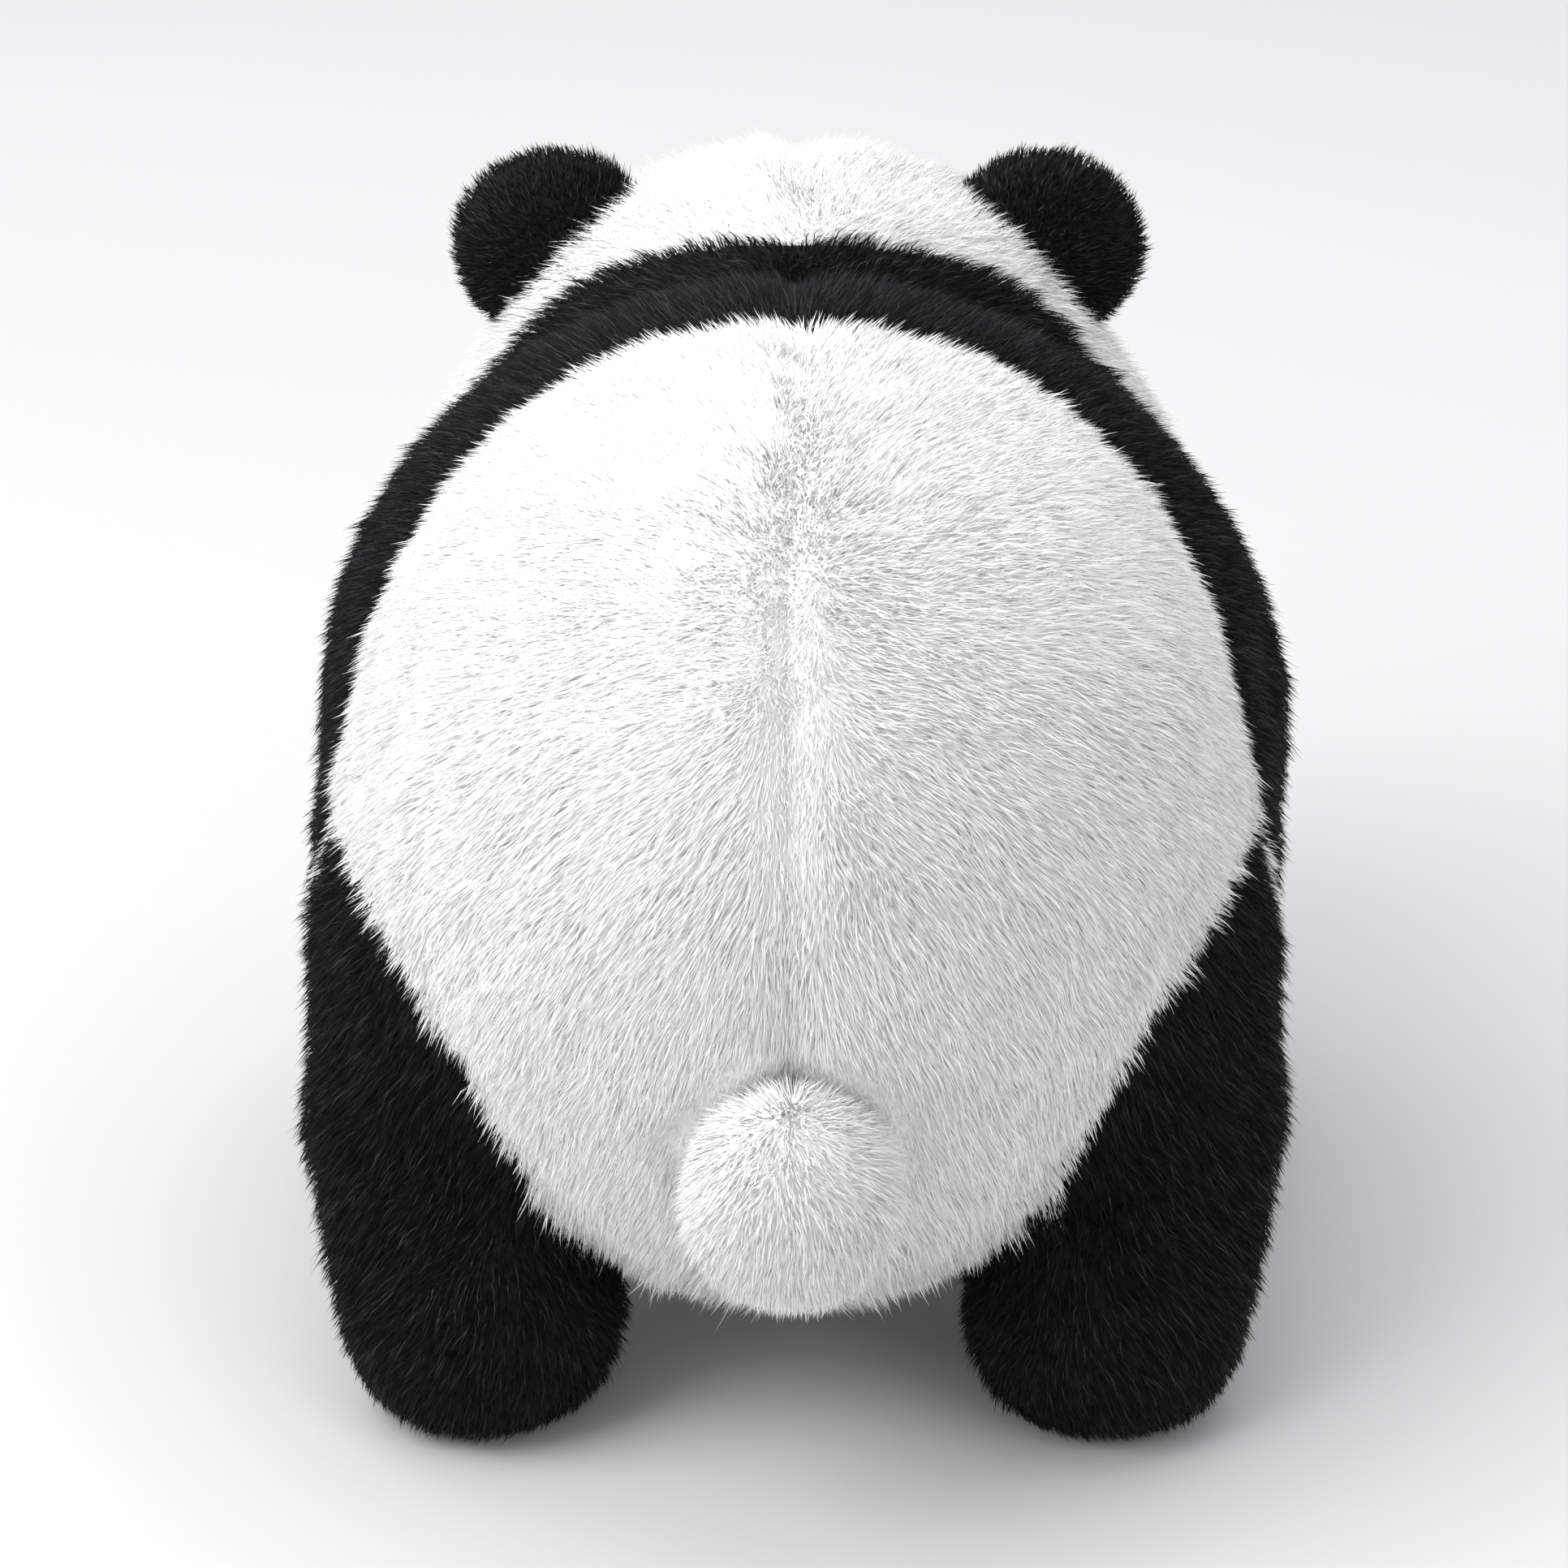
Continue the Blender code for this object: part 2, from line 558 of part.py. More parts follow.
drills, pockets = [], []
patch_shell = soft_form('patch_shell', head_field, HEAD_MID, *HEAD_MESH, 0.0004 + PATCH_THICK, 'Y')
patch_under = soft_form('patch_under', head_field, HEAD_MID, *HEAD_MESH, 0.0004, 'Y')
boolean(patch_shell, patch_under)
for s, word in ((1, 'left'), (-1, 'right')):
    # patch: an oval of black plush laid on the face
    middle = front_point(EYE_PATCH_X * s, EYE_PATCH_Z)
    aim = facing(middle, gradient(head_field, middle)).to_3x3()
    bm = bmesh.new()
    bmesh.ops.create_cone(bm, cap_ends=True, segments=18, radius1=1.0, radius2=1.0, depth=0.03)
    bmesh.ops.scale(bm, verts=bm.verts[:], vec=(*EYE_PATCH_R, 1.0))
    bmesh.ops.rotate(bm, verts=bm.verts[:], cent=(0, 0, 0),
                     matrix=aim @ Matrix.Rotation(math.radians(-EYE_PATCH_TILT) * s, 3, 'Z'))
    bmesh.ops.translate(bm, verts=bm.verts[:], vec=middle)
    oval = as_cutter(from_bmesh('oval', bm))
    patch = copy_of(patch_shell, 'eye_patch_' + word)
    boolean(patch, oval, 'INTERSECT')
    drop(oval)
    seat = front_point(EYE_X * s, EYE_Z, EYE_SEAT)
    n = gradient(head_field, seat)
    place = facing(seat, n)
    dome = [(EYE_R * math.cos(a), EYE_H * math.sin(a)) for a in np.linspace(0, math.pi / 2, 6)[:-1]]
    profile = [(0.0, -SHANK_L), (SHANK_R, -SHANK_L), (SHANK_R, 0.0), (EYE_R - 0.0006, 0.0)] + \
              [(r, h + 0.0006) for r, h in dome] + [(0.0, EYE_H + 0.0006)]
    eye = spun('eye_' + word, profile, 16, place)
    finish(eye, black_plastic)
    under = -(EYE_SEAT + PANEL)
    ring = [(SHANK_R + 0.0003, under - 0.0020 - WASHER_T), (WASHER_R, under - 0.0020 - WASHER_T),
            (WASHER_R, under - 0.0020), (SHANK_R + 0.0003, under - 0.0020)]
    washer = spun('eye_washer_' + word, ring, 14, place)
    finish(washer, washer_plastic)
    drill = as_cutter(spun('eye_drill_' + word, [(0.0, -0.030), (SHANK_R + 0.0004, -0.030),
                                                 (SHANK_R + 0.0004, 0.010), (0.0, 0.010)], 10, place))
    pocket = as_cutter(spun('eye_pocket_' + word, [(0.0, -SHANK_L - 0.0008), (WASHER_R + 0.0006, -SHANK_L - 0.0008),
                                                   (WASHER_R + 0.0006, 0.010), (0.0, 0.010)], 12, place))
    boolean(patch, drill)
    finish(merged(patch), black_plush)
    drills.append(drill)
    pockets.append(pocket)

seat = front_point(0.0, NOSE_Z, 0.0008)
n = gradient(head_field, seat)
place = facing(seat, n)
dome = [(math.cos(a), math.sin(a)) for a in np.linspace(0, math.pi / 2, 6)[:-1]]
stretch = Matrix.Diagonal((NOSE_R[0], NOSE_R[1], NOSE_H, 1.0))
nose = spun('nose', [(0.0, 0.0), (0.96, 0.0)] + [(r, h + 0.08) for r, h in dome] + [(0.0, 1.08)], 18, place @ stretch)
shank = as_cutter(spun('nose_shank', [(0.0, -SHANK_L), (SHANK_R, -SHANK_L), (SHANK_R, 0.002), (0.0, 0.002)], 10, place))
boolean(nose, shank, 'UNION')
finish(merged(nose), black_plastic)
drop(shank)
under = -0.0096
ring = [(SHANK_R + 0.0003, under - WASHER_T), (NOSE_WASHER_R, under - WASHER_T),
        (NOSE_WASHER_R, under), (SHANK_R + 0.0003, under)]
finish(spun('nose_washer', ring, 14, place), washer_plastic)
drills.append(as_cutter(spun('nose_drill', [(0.0, -0.030), (SHANK_R + 0.0004, -0.030),
                                            (SHANK_R + 0.0004, 0.010), (0.0, 0.010)], 10, place)))
pockets.append(as_cutter(spun('nose_pocket', [(0.0, -SHANK_L - 0.0008), (NOSE_WASHER_R + 0.0006, -SHANK_L - 0.0008),
                                              (NOSE_WASHER_R + 0.0006, 0.010), (0.0, 0.010)], 12, place)))


def thread(name, path, radius):
    """A round thread laid along (x, z) points of the face."""
    curve = bpy.data.curves.new(name, 'CURVE')
    curve.dimensions = '3D'
    curve.bevel_depth = radius
    curve.bevel_resolution = 1
    curve.use_fill_caps = True
    spline = curve.splines.new('POLY')
    spline.points.add(len(path) - 1)
    for point, (x, z) in zip(spline.points, path):
        point.co = (*front_point(x, z, radius + 0.0005), 1.0)
    obj = link(name, curve)
    graph = bpy.context.evaluated_depsgraph_get()
    graph.update()
    mesh = bpy.data.meshes.new_from_object(obj.evaluated_get(graph))
    bpy.data.objects.remove(obj, do_unlink=True)
    return link(name, mesh)


lip_z = NOSE_Z - 0.0215
smile = [(0.0165 * t, lip_z - 0.0050 * math.sin(math.pi * abs(t)) + 0.0020 * t * t) for t in np.linspace(-1, 1, 13)]
mouth = thread('mouth_stitch', smile, STITCH_R)
upright = as_cutter(thread('mouth_upright', [(0.0, z) for z in np.linspace(NOSE_Z - NOSE_R[1] - 0.0022, lip_z - 0.0004, 5)], STITCH_R))
boolean(mouth, upright, 'UNION')
drop(upright)
finish(merged(mouth, 1e-5), embroidery)

# --------------------------------------------------------------------- the head
head_shell = copy_of(head_outer, 'head_shell')
boolean(head_shell, head_inner)
throat_tilt = prism('throat_cut', [(-0.030, 0.32), (-0.062, 0.09), (0.2, 0.09), (0.2, 0.32)], -0.3, 0.3)
for cutter in [throat_tilt] + ear_rooms + drills:
    boolean(head_shell, cutter)
muzzle_zone = as_cutter(spun('muzzle_zone', [(0.0, 0.0), (0.043, 0.0), (0.043, 0.10), (0.0, 0.10)], 28,
                             Matrix.Translation((0.0, -0.169, 0.163)) @ Matrix.Rotation(math.radians(90), 4, 'X')))
muzzle_room = as_cutter(spun('muzzle_room', [(0.0, -0.0006), (0.0436, -0.0006), (0.0436, 0.10), (0.0, 0.10)], 28,
                             Matrix.Translation((0.0, -0.169, 0.163)) @ Matrix.Rotation(math.radians(90), 4, 'X')))
chin_zone = box('chin_zone', (-0.026, -0.3, -0.1), (0.026, 0.0, 0.136))
chin_room = box('chin_room', (-0.026 - 2 * SEAM, -0.3, -0.1), (0.026 + 2 * SEAM, 0.0, 0.136 + 2 * SEAM))
panel = copy_of(head_shell, 'head_panel_left')
for cutter in (muzzle_room, chin_room):
    boolean(panel, cutter)
boolean(panel, left_half, 'INTERSECT')
finish(merged(panel), white_plush, NECK_PIVOT)
opposite(panel, 'head_panel_right')
muzzle = copy_of(head_shell, 'muzzle_panel')
boolean(muzzle, muzzle_zone, 'INTERSECT')
finish(merged(muzzle), white_plush, NECK_PIVOT)
chin = copy_of(head_shell, 'chin_panel')
boolean(chin, chin_zone, 'INTERSECT')
boolean(chin, muzzle_room)
finish(merged(chin), white_plush, NECK_PIVOT)

head_stuffing = copy_of(head_fill, 'head_stuffing')
for cutter in [neck_room] + ear_rooms + pockets:
    boolean(head_stuffing, cutter)
finish(merged(head_stuffing), polyester_fill, NECK_PIVOT)

# ----------------------------------------------------------- guides are left wired
guides = {body_outer, body_inner, body_fill, head_outer, head_inner, head_fill, shell, head_shell,
          tail_outer, tail_inner, tail_shell, neck_room, patch_shell, patch_under}
guides |= {o for o in bpy.data.objects if o.name.endswith('_room') or '_room.' in o.name}
for obj in guides:
    as_cutter(obj)

print('pieces', sorted(o.name for o in bpy.data.objects if not o.hide_render and o.type == 'MESH'))
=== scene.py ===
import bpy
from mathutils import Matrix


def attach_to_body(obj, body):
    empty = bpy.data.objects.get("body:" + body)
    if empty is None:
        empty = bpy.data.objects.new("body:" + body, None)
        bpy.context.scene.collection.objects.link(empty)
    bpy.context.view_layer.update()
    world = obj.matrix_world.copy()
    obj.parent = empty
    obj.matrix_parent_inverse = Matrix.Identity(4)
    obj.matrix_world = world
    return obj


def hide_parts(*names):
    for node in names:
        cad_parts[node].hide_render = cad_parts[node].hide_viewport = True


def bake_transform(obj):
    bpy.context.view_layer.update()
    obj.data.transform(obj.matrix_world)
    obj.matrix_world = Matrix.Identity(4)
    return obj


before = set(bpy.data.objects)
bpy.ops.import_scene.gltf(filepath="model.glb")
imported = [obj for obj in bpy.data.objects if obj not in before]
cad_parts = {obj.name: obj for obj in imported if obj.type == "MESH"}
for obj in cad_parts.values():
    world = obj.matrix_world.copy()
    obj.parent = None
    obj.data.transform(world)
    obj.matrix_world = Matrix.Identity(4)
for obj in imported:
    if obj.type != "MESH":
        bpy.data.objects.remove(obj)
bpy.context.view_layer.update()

import math

import bmesh
import bpy
import numpy as np
from mathutils import Matrix, Vector, kdtree

# ------------------------------------------------------------------ dimensions
RUMP_C, RUMP_R = (0.0, 0.088, 0.154), (0.118, 0.113, 0.119)
CHEST_C, CHEST_R = (0.0, -0.010, 0.152), (0.133, 0.102, 0.119)
BODY_BLEND = 0.062
UNDER_C, UNDER_R = (0.0, 0.104, 0.098), (0.072, 0.066, 0.0655)
HIP_C, HIP_R = (0.0735, 0.068, 0.1155), (0.0580, 0.065, 0.061)
SHOULDER_C, SHOULDER_R = (0.0775, -0.025, 0.116), (0.046, 0.060, 0.071)
LIMB_BLEND = 0.030
HIND_TOP_C, HIND_TOP_R = (0.077, 0.091, 0.100), (0.0465, 0.048, 0.048)
HIND_KNEE, HIND_KNEE_R = (0.091, 0.097, 0.072), 0.043
HIND_FOOT, HIND_FOOT_R = (0.0840, 0.1215, 0.0275), 0.0405
FORE_TOP_C, FORE_TOP_R = (0.084, -0.018, 0.088), (0.042, 0.042, 0.042)
FORE_KNEE, FORE_KNEE_R = (0.092, -0.044, 0.064), 0.0425
FORE_FOOT, FORE_FOOT_R = (0.0970, -0.067, 0.0270), 0.0415
LEG_BLEND = 0.024
HEAD_C, HEAD_R = (0.0, -0.111, 0.192), (0.0945, 0.0885, 0.0885)
CHEEK_C, CHEEK_R = (0.0565, -0.107, 0.164), (0.0590, 0.0560, 0.0520)
MUZZLE_C, MUZZLE_R = (0.0, -0.187, 0.166), (0.041, 0.032, 0.031)
HEAD_BLEND, MUZZLE_BLEND = 0.034, 0.014
NECK_PIVOT = (0.0, -0.100, 0.182)
EAR_C, EAR_R = (0.0716, -0.119, 0.2495), (0.0318, 0.0115, 0.0308)
EAR_TILT, EAR_ROOT = 30.0, 0.020
TAIL_C, TAIL_R = (0.0, 0.2015, 0.1040), (0.0302, 0.0275, 0.0325)
BAND_EDGE = [(0.013, 0.290), (0.017, 0.272), (0.035, 0.240), (0.053, 0.207),
             (0.073, 0.168), (0.079, 0.150), (0.067, 0.128), (0.041, 0.104),
             (0.023, 0.078), (0.019, 0.052), (0.019, 0.020)]
GUSSET_HALF, GUSSET_TOP = 0.030, 0.078
HIP_SEAM_P, HIP_SEAM_N = (0.117, 0.114, 0.151), (1.0, 0.202, -0.577)
EYE_X, EYE_Z, EYE_R = 0.0370, 0.2030, 0.0080
EYE_PATCH_X, EYE_PATCH_Z, EYE_PATCH_R, EYE_PATCH_TILT = 0.0410, 0.1995, (0.0175, 0.0235), 32.0
NOSE_Z, NOSE_R = 0.1800, (0.0155, 0.0105)

BACKING = 0.0050        # the fabric lies this far under the ends of the pile
CLOTH = 0.0012          # thickness of the backing fabric
CAP = 0.0050            # the most that the stuffing may push a point of the fabric
FINE, COARSE = 0.0034, 0.0068
rng = np.random.default_rng(7)


# --------------------------------------------------------------------- the forms
def ellipsoid(p, c, r):
    q = p - np.array(c)
    r = np.array(r)
    k0 = np.linalg.norm(q / r, axis=-1)
    k1 = np.linalg.norm(q / (r * r), axis=-1)
    return k0 * (k0 - 1.0) / np.maximum(k1, 1e-6)


def taper(p, a, b, ra, rb):
    a, b = np.array(a, float), np.array(b, float)
    ba = b - a
    t = np.clip(((p - a) @ ba) / (ba @ ba), 0.0, 1.0)
    return np.linalg.norm(p - (a + t[..., None] * ba), axis=-1) - (ra + (rb - ra) * t)


def smooth_min(a, b, k):
    h = np.maximum(k - np.abs(a - b), 0.0) / k
    return np.minimum(a, b) - h * h * k * 0.25


def mirrored(p):
    q = np.array(p, float)
    q[..., 0] = np.abs(q[..., 0])
    return q


def body_field(q):
    d = smooth_min(ellipsoid(q, RUMP_C, RUMP_R), ellipsoid(q, CHEST_C, CHEST_R), BODY_BLEND)
    d = smooth_min(d, ellipsoid(q, HIP_C, HIP_R), LIMB_BLEND)
    return smooth_min(d, ellipsoid(q, SHOULDER_C, SHOULDER_R), LIMB_BLEND)


def hind_field(q):
    return smooth_min(ellipsoid(q, HIND_TOP_C, HIND_TOP_R),
                      taper(q, HIND_KNEE, HIND_FOOT, HIND_KNEE_R, HIND_FOOT_R), LEG_BLEND)


def fore_field(q):
    return smooth_min(ellipsoid(q, FORE_TOP_C, FORE_TOP_R),
                      taper(q, FORE_KNEE, FORE_FOOT, FORE_KNEE_R, FORE_FOOT_R), LEG_BLEND)


def head_field(q):
    d = smooth_min(ellipsoid(q, HEAD_C, HEAD_R), ellipsoid(q, CHEEK_C, CHEEK_R), HEAD_BLEND)
    return smooth_min(d, ellipsoid(q, MUZZLE_C, MUZZLE_R), MUZZLE_BLEND)


def skin_field(p, inset=BACKING):
    """The sewn skin of trunk, legs and head as one surface, resting on flat soles."""
    q = mirrored(p)
    # sewn by hand: the right shoulder is a little fuller than the left
    q[..., 0] *= 1.0 - 0.030 * (np.asarray(p)[..., 0] < 0) * np.clip((0.060 - q[..., 1]) / 0.05, 0, 1) * \
        np.clip((0.225 - q[..., 2]) / 0.06, 0, 1) * np.clip(q[..., 0] / 0.06, 0, 1)
    d = smooth_min(body_field(q), ellipsoid(q, UNDER_C, UNDER_R), 0.030)
    d = smooth_min(d, smooth_min(hind_field(q), fore_field(q), 0.006), 0.014)
    d = smooth_min(d, head_field(q), 0.012) + inset
    floor = 0.0022 - q[..., 2]
    return -smooth_min(-d, -floor, 0.006)


def gradient(field, p, e=2e-4):
    g = np.empty(p.shape)
    for i in range(3):
        step = np.zeros(3)
        step[i] = e
        g[..., i] = (field(p + step) - field(p - step)) / (2 * e)
    return g


def unit(v):
    return v / np.maximum(np.linalg.norm(v, axis=-1, keepdims=True), 1e-9)


def surface_net(field, lo, hi, h):
    """Vertices and quads of the zero surface of a field, on a grid of pitch h."""
    n = [int(math.ceil((b - a) / h)) + 1 for a, b in zip(lo, hi)]
    axes = [a + h * np.arange(k) for a, k in zip(lo, n)]
    grid = np.stack(np.meshgrid(*axes, indexing='ij'), axis=-1)
    f = field(grid)
    inside = f < 0
    count = np.zeros([k - 1 for k in n], int)
    corners = [(i, j, k) for i in (0, 1) for j in (0, 1) for k in (0, 1)]
    for i, j, k in corners:
        count += inside[i:n[0] - 1 + i, j:n[1] - 1 + j, k:n[2] - 1 + k]
    active = (count > 0) & (count < 8)
    index = np.full(active.shape, -1)
    index[active] = np.arange(int(active.sum()))
    cells = np.argwhere(active)
    total, hits = np.zeros((len(cells), 3)), np.zeros(len(cells))
    for a in corners:
        for axis in range(3):
            if a[axis]:
                continue
            b = list(a)
            b[axis] = 1
            ca, cb = cells + a, cells + b
            fa, fb = f[tuple(ca.T)], f[tuple(cb.T)]
            cross = (fa < 0) != (fb < 0)
            t = fa[cross] / (fa[cross] - fb[cross])
            total[cross] += ca[cross] + t[:, None] * (cb[cross] - ca[cross])
            hits[cross] += 1
    verts = np.array(lo) + h * total / hits[:, None]
    quads = []
    for axis in range(3):
        first = [slice(None)] * 3
        second = [slice(None)] * 3
        first[axis], second[axis] = slice(0, -1), slice(1, None)
        a, b = inside[tuple(first)], inside[tuple(second)]
        u, v = (axis + 1) % 3, (axis + 2) % 3
        at = np.argwhere(a != b)
        ok = (at[:, u] > 0) & (at[:, v] > 0) & (at[:, u] < n[u] - 1) & (at[:, v] < n[v] - 1)
        at = at[ok]
        out = a[tuple(at.T)]
        ring = []
        for du, dv in ((-1, -1), (0, -1), (0, 0), (-1, 0)):
            c = at.copy()
            c[:, u] += du
            c[:, v] += dv
            ring.append(index[tuple(c.T)])
        q = np.stack(ring, axis=1)
        q[~out] = q[~out][:, ::-1]
        quads.append(q)
    quads = np.concatenate(quads)
    return verts, quads[(quads >= 0).all(axis=1)]


def settle(verts, field, steps=3):
    for _ in range(steps):
        g = gradient(field, verts)
        verts = verts - (field(verts) / np.maximum((g * g).sum(-1), 0.05))[:, None] * g
    return verts


# ---------------------------------------------------------------------- the seams
edge_y = np.array([a for a, _ in BAND_EDGE])[::-1]
edge_z = np.array([b for _, b in BAND_EDGE])[::-1]
dense_z = np.linspace(edge_z[0], edge_z[-1], 200)
dense_y = np.convolve(np.pad(np.interp(dense_z, edge_z, edge_y), 6, mode='edge'), np.ones(13) / 13, 'valid')


def g_band(p):
    """Behind the band's rear seam."""
    wide = np.clip(np.abs(p[..., 0]) / 0.045, 0, 1) * np.clip((p[..., 2] - 0.150) / 0.035, 0, 1)
    return (p[..., 1] - np.interp(p[..., 2], dense_z, dense_y) + 0.0050 * wide) * 0.8


def g_neck(p):
    """In front of the band's front seam."""
    wide = np.clip(np.abs(p[..., 0]) / 0.070, 0, 1) ** 1.4 * np.clip((p[..., 2] - 0.130) / 0.060, 0, 1)
    return (-(p[..., 1] + 0.0743) + 0.265 * (p[..., 2] - 0.261) - 0.0125 * wide) / 1.0345


def g_hip(p):
    """On the leg's side of the hip seam."""
    q = mirrored(p)
    d = (q - np.array(HIP_SEAM_P)) @ (np.array(HIP_SEAM_N) / np.linalg.norm(HIP_SEAM_N))
    d = d + 0.0046 * np.clip((q[..., 2] - 0.072) / 0.045, 0, 1)
    leg = body_field(q) - hind_field(q) - 0.001
    return np.minimum(np.maximum(d, np.minimum(leg, 0.104 - q[..., 2])), g_band(q) - 0.0040 - 0.17 * np.clip(0.148 - q[..., 2], 0, 0.1))


def g_fore(p):
    """On the front leg's side of its seam."""
    q = mirrored(p)
    return np.minimum(np.minimum(body_field(q) - fore_field(q) - 0.001, 0.45 * q[..., 0] - q[..., 2] + 0.036),
                      -g_band(q))


def g_patch(p):
    q = mirrored(p)
    a = math.radians(-EYE_PATCH_TILT)
    u, v = q[..., 0] - EYE_PATCH_X, q[..., 2] - EYE_PATCH_Z
    x, z = u * math.cos(a) - v * math.sin(a), u * math.sin(a) + v * math.cos(a)
    d = np.sqrt((x / EYE_PATCH_R[0]) ** 2 + (z / EYE_PATCH_R[1]) ** 2)
    return np.where(q[..., 1] < -0.14, (1.0 - d) * 0.019, -0.02)


def g_muzzle(p):
    r = np.sqrt(p[..., 0] ** 2 + (p[..., 2] - 0.163) ** 2)
    return np.minimum(0.040 - r, -0.160 - p[..., 1])


def g_chin(p):
    return np.minimum(0.026 - np.abs(p[..., 0]), 0.137 - p[..., 2])


CLASSES = ['rump_left', 'rump_right', 'belly', 'band_left', 'band_right', 'chest', 'head_left', 'head_right',
           'muzzle', 'chin', 'patch_left', 'patch_right', 'hind_left_outer', 'hind_left_inner',
           'hind_right_outer', 'hind_right_inner', 'fore_left_outer', 'fore_left_inner',
           'fore_right_outer', 'fore_right_inner', 'hind_left_sole', 'hind_right_sole',
           'fore_left_sole', 'fore_right_sole']
NUMBER = {name: i for i, name in enumerate(CLASSES)}
BLACK_CLASSES = {n for n in CLASSES if n.split('_')[0] in ('band', 'chest', 'patch', 'hind', 'fore')}


def panel_of(p):
    """The number of the panel that each point of the skin belongs to."""
    right = p[:, 0] < 0
    wide = np.abs(p[:, 0])
    out = np.where(right, NUMBER['rump_right'], NUMBER['rump_left'])
    gusset = (wide < GUSSET_HALF) & (p[:, 2] < GUSSET_TOP)
    front = g_band(p) < 0
    out[gusset] = NUMBER['belly']
    out[front] = np.where(right, NUMBER['band_right'], NUMBER['band_left'])[front]
    out[front & gusset] = NUMBER['chest']
    head = g_neck(p) > 0
    out[head] = np.where(right, NUMBER['head_right'], NUMBER['head_left'])[head]
    out[head & (g_chin(p) > 0)] = NUMBER['chin']
    out[head & (g_muzzle(p) > 0)] = NUMBER['muzzle']
    patch = head & (g_patch(p) > 0)
    out[patch] = np.where(right, NUMBER['patch_right'], NUMBER['patch_left'])[patch]
    for word, g, foot in (('hind', g_hip, HIND_FOOT), ('fore', g_fore, FORE_FOOT)):
        on = g(p) > 0
        flat = on & (p[:, 2] < 0.0034)
        outer = wide > foot[0]
        for name, a in (('right', right), ('left', ~right)):
            out[on & a & outer] = NUMBER['%s_%s_outer' % (word, name)]
            out[on & a & ~outer] = NUMBER['%s_%s_inner' % (word, name)]
            out[flat & a] = NUMBER['%s_%s_sole' % (word, name)]
    return out


def seam_distance(p):
    """How far each point is from the nearest sewn line of the body."""
    hip = np.abs(g_hip(p))
    d = np.minimum(np.abs(g_band(p)), np.abs(g_neck(p)))
    d = np.minimum(d, hip)
    legs = (g_hip(p) > 0) | (g_fore(p) > 0)
    face = p[:, 1] < -0.150
    middle = np.where(legs | face, 0.05, np.abs(p[:, 0]))
    return np.minimum(d, middle)


# ----------------------------------------------------------------------- the skin
LO, HI = (-0.150, -0.236, -0.006), (0.150, 0.214, 0.286)
verts, quads = surface_net(skin_field, LO, HI, FINE)
verts = settle(verts, skin_field)


def stuffed(points):
    """How the stuffing pushes the fabric out between its seams, from a cloth under pressure."""
    cv, cq = surface_net(lambda p: skin_field(p, BACKING + 0.0010), LO, HI, COARSE)
    cv = settle(cv, lambda p: skin_field(p, BACKING + 0.0010))
    mesh = bpy.data.meshes.new('sewn_cover')
    mesh.from_pydata(cv.tolist(), [], cq.tolist())
    obj = bpy.data.objects.new('sewn_cover', mesh)
    bpy.context.scene.collection.objects.link(obj)
    held = seam_distance(cv) < 0.0045
    held |= cv[:, 2] < 0.006
    held |= (g_patch(cv) > -0.004) | (g_muzzle(cv) > -0.004)
    group = obj.vertex_groups.new(name='sewn')
    group.add([int(i) for i in np.nonzero(held)[0]], 1.0, 'REPLACE')
    cloth = obj.modifiers.new('cover', 'CLOTH')
    s = cloth.settings
    s.quality = 6
    s.mass = 0.25
    s.tension_stiffness = s.compression_stiffness = 12.0
    s.shear_stiffness = 6.0
    s.bending_stiffness = 0.6
    s.use_pressure = True
    s.uniform_pressure_force = 4.0
    s.vertex_group_mass = 'sewn'
    s.effector_weights.gravity = 0.0
    cloth.collision_settings.use_collision = False
    cloth.point_cache.frame_start, cloth.point_cache.frame_end = 1, 20
    scene = bpy.context.scene
    for f in range(1, 21):
        scene.frame_set(f)
    graph = bpy.context.evaluated_depsgraph_get()
    shaped = obj.evaluated_get(graph).data
    now = np.empty(len(cv) * 3, np.float32)
    shaped.vertices.foreach_get('co', now)
    move = now.reshape(-1, 3).astype(float) - cv
    scene.frame_set(1)
    bpy.data.objects.remove(obj, do_unlink=True)
    bpy.data.meshes.remove(mesh)
    size = np.linalg.norm(move, axis=1, keepdims=True)
    move *= np.minimum(1.0, CAP / np.maximum(size, 1e-9))
    tree = kdtree.KDTree(len(cv))
    for i, c in enumerate(cv):
        tree.insert(c, i)
    tree.balance()
    out = np.zeros_like(points)
    for i, p in enumerate(points):
        total = 0.0
        for _, j, dist in tree.find_n(p, 5):
            w = 1.0 / (dist * dist + 4e-6)
            out[i] += w * move[j]
            total += w
        out[i] /= total
    return out


def vertex_normals(v, q):
    a, b, c, d = (v[q[:, i]] for i in range(4))
    n = np.cross(c - a, d - b)
    out = np.zeros_like(v)
    for i in range(4):
        np.add.at(out, q[:, i], n)
    return unit(out)


# the panels meet on clean lines: points beside a seam are drawn onto it
face_mid = verts[quads].mean(axis=1)
face_panel = panel_of(face_mid)
lowest = np.full(len(verts), 99)
highest = np.full(len(verts), -1)
for i in range(4):
    np.minimum.at(lowest, quads[:, i], face_panel)
    np.maximum.at(highest, quads[:, i], face_panel)
border = lowest != highest
seam_lines = [g_band, g_neck, g_hip, g_fore, g_patch, g_muzzle, lambda p: p[..., 0]]
for _ in range(2):
    best = np.full(len(verts), 0.0026)
    shift = np.zeros_like(verts)
    for g in seam_lines:
        value = g(verts)
        slope = gradient(g, verts)
        step = -(value / np.maximum((slope * slope).sum(-1), 0.2))[:, None] * slope
        reach = np.linalg.norm(step, axis=1)
        use = border & (reach < best)
        shift[use], best[use] = step[use], reach[use]
    verts = settle(verts + shift * 0.8, skin_field, 1)

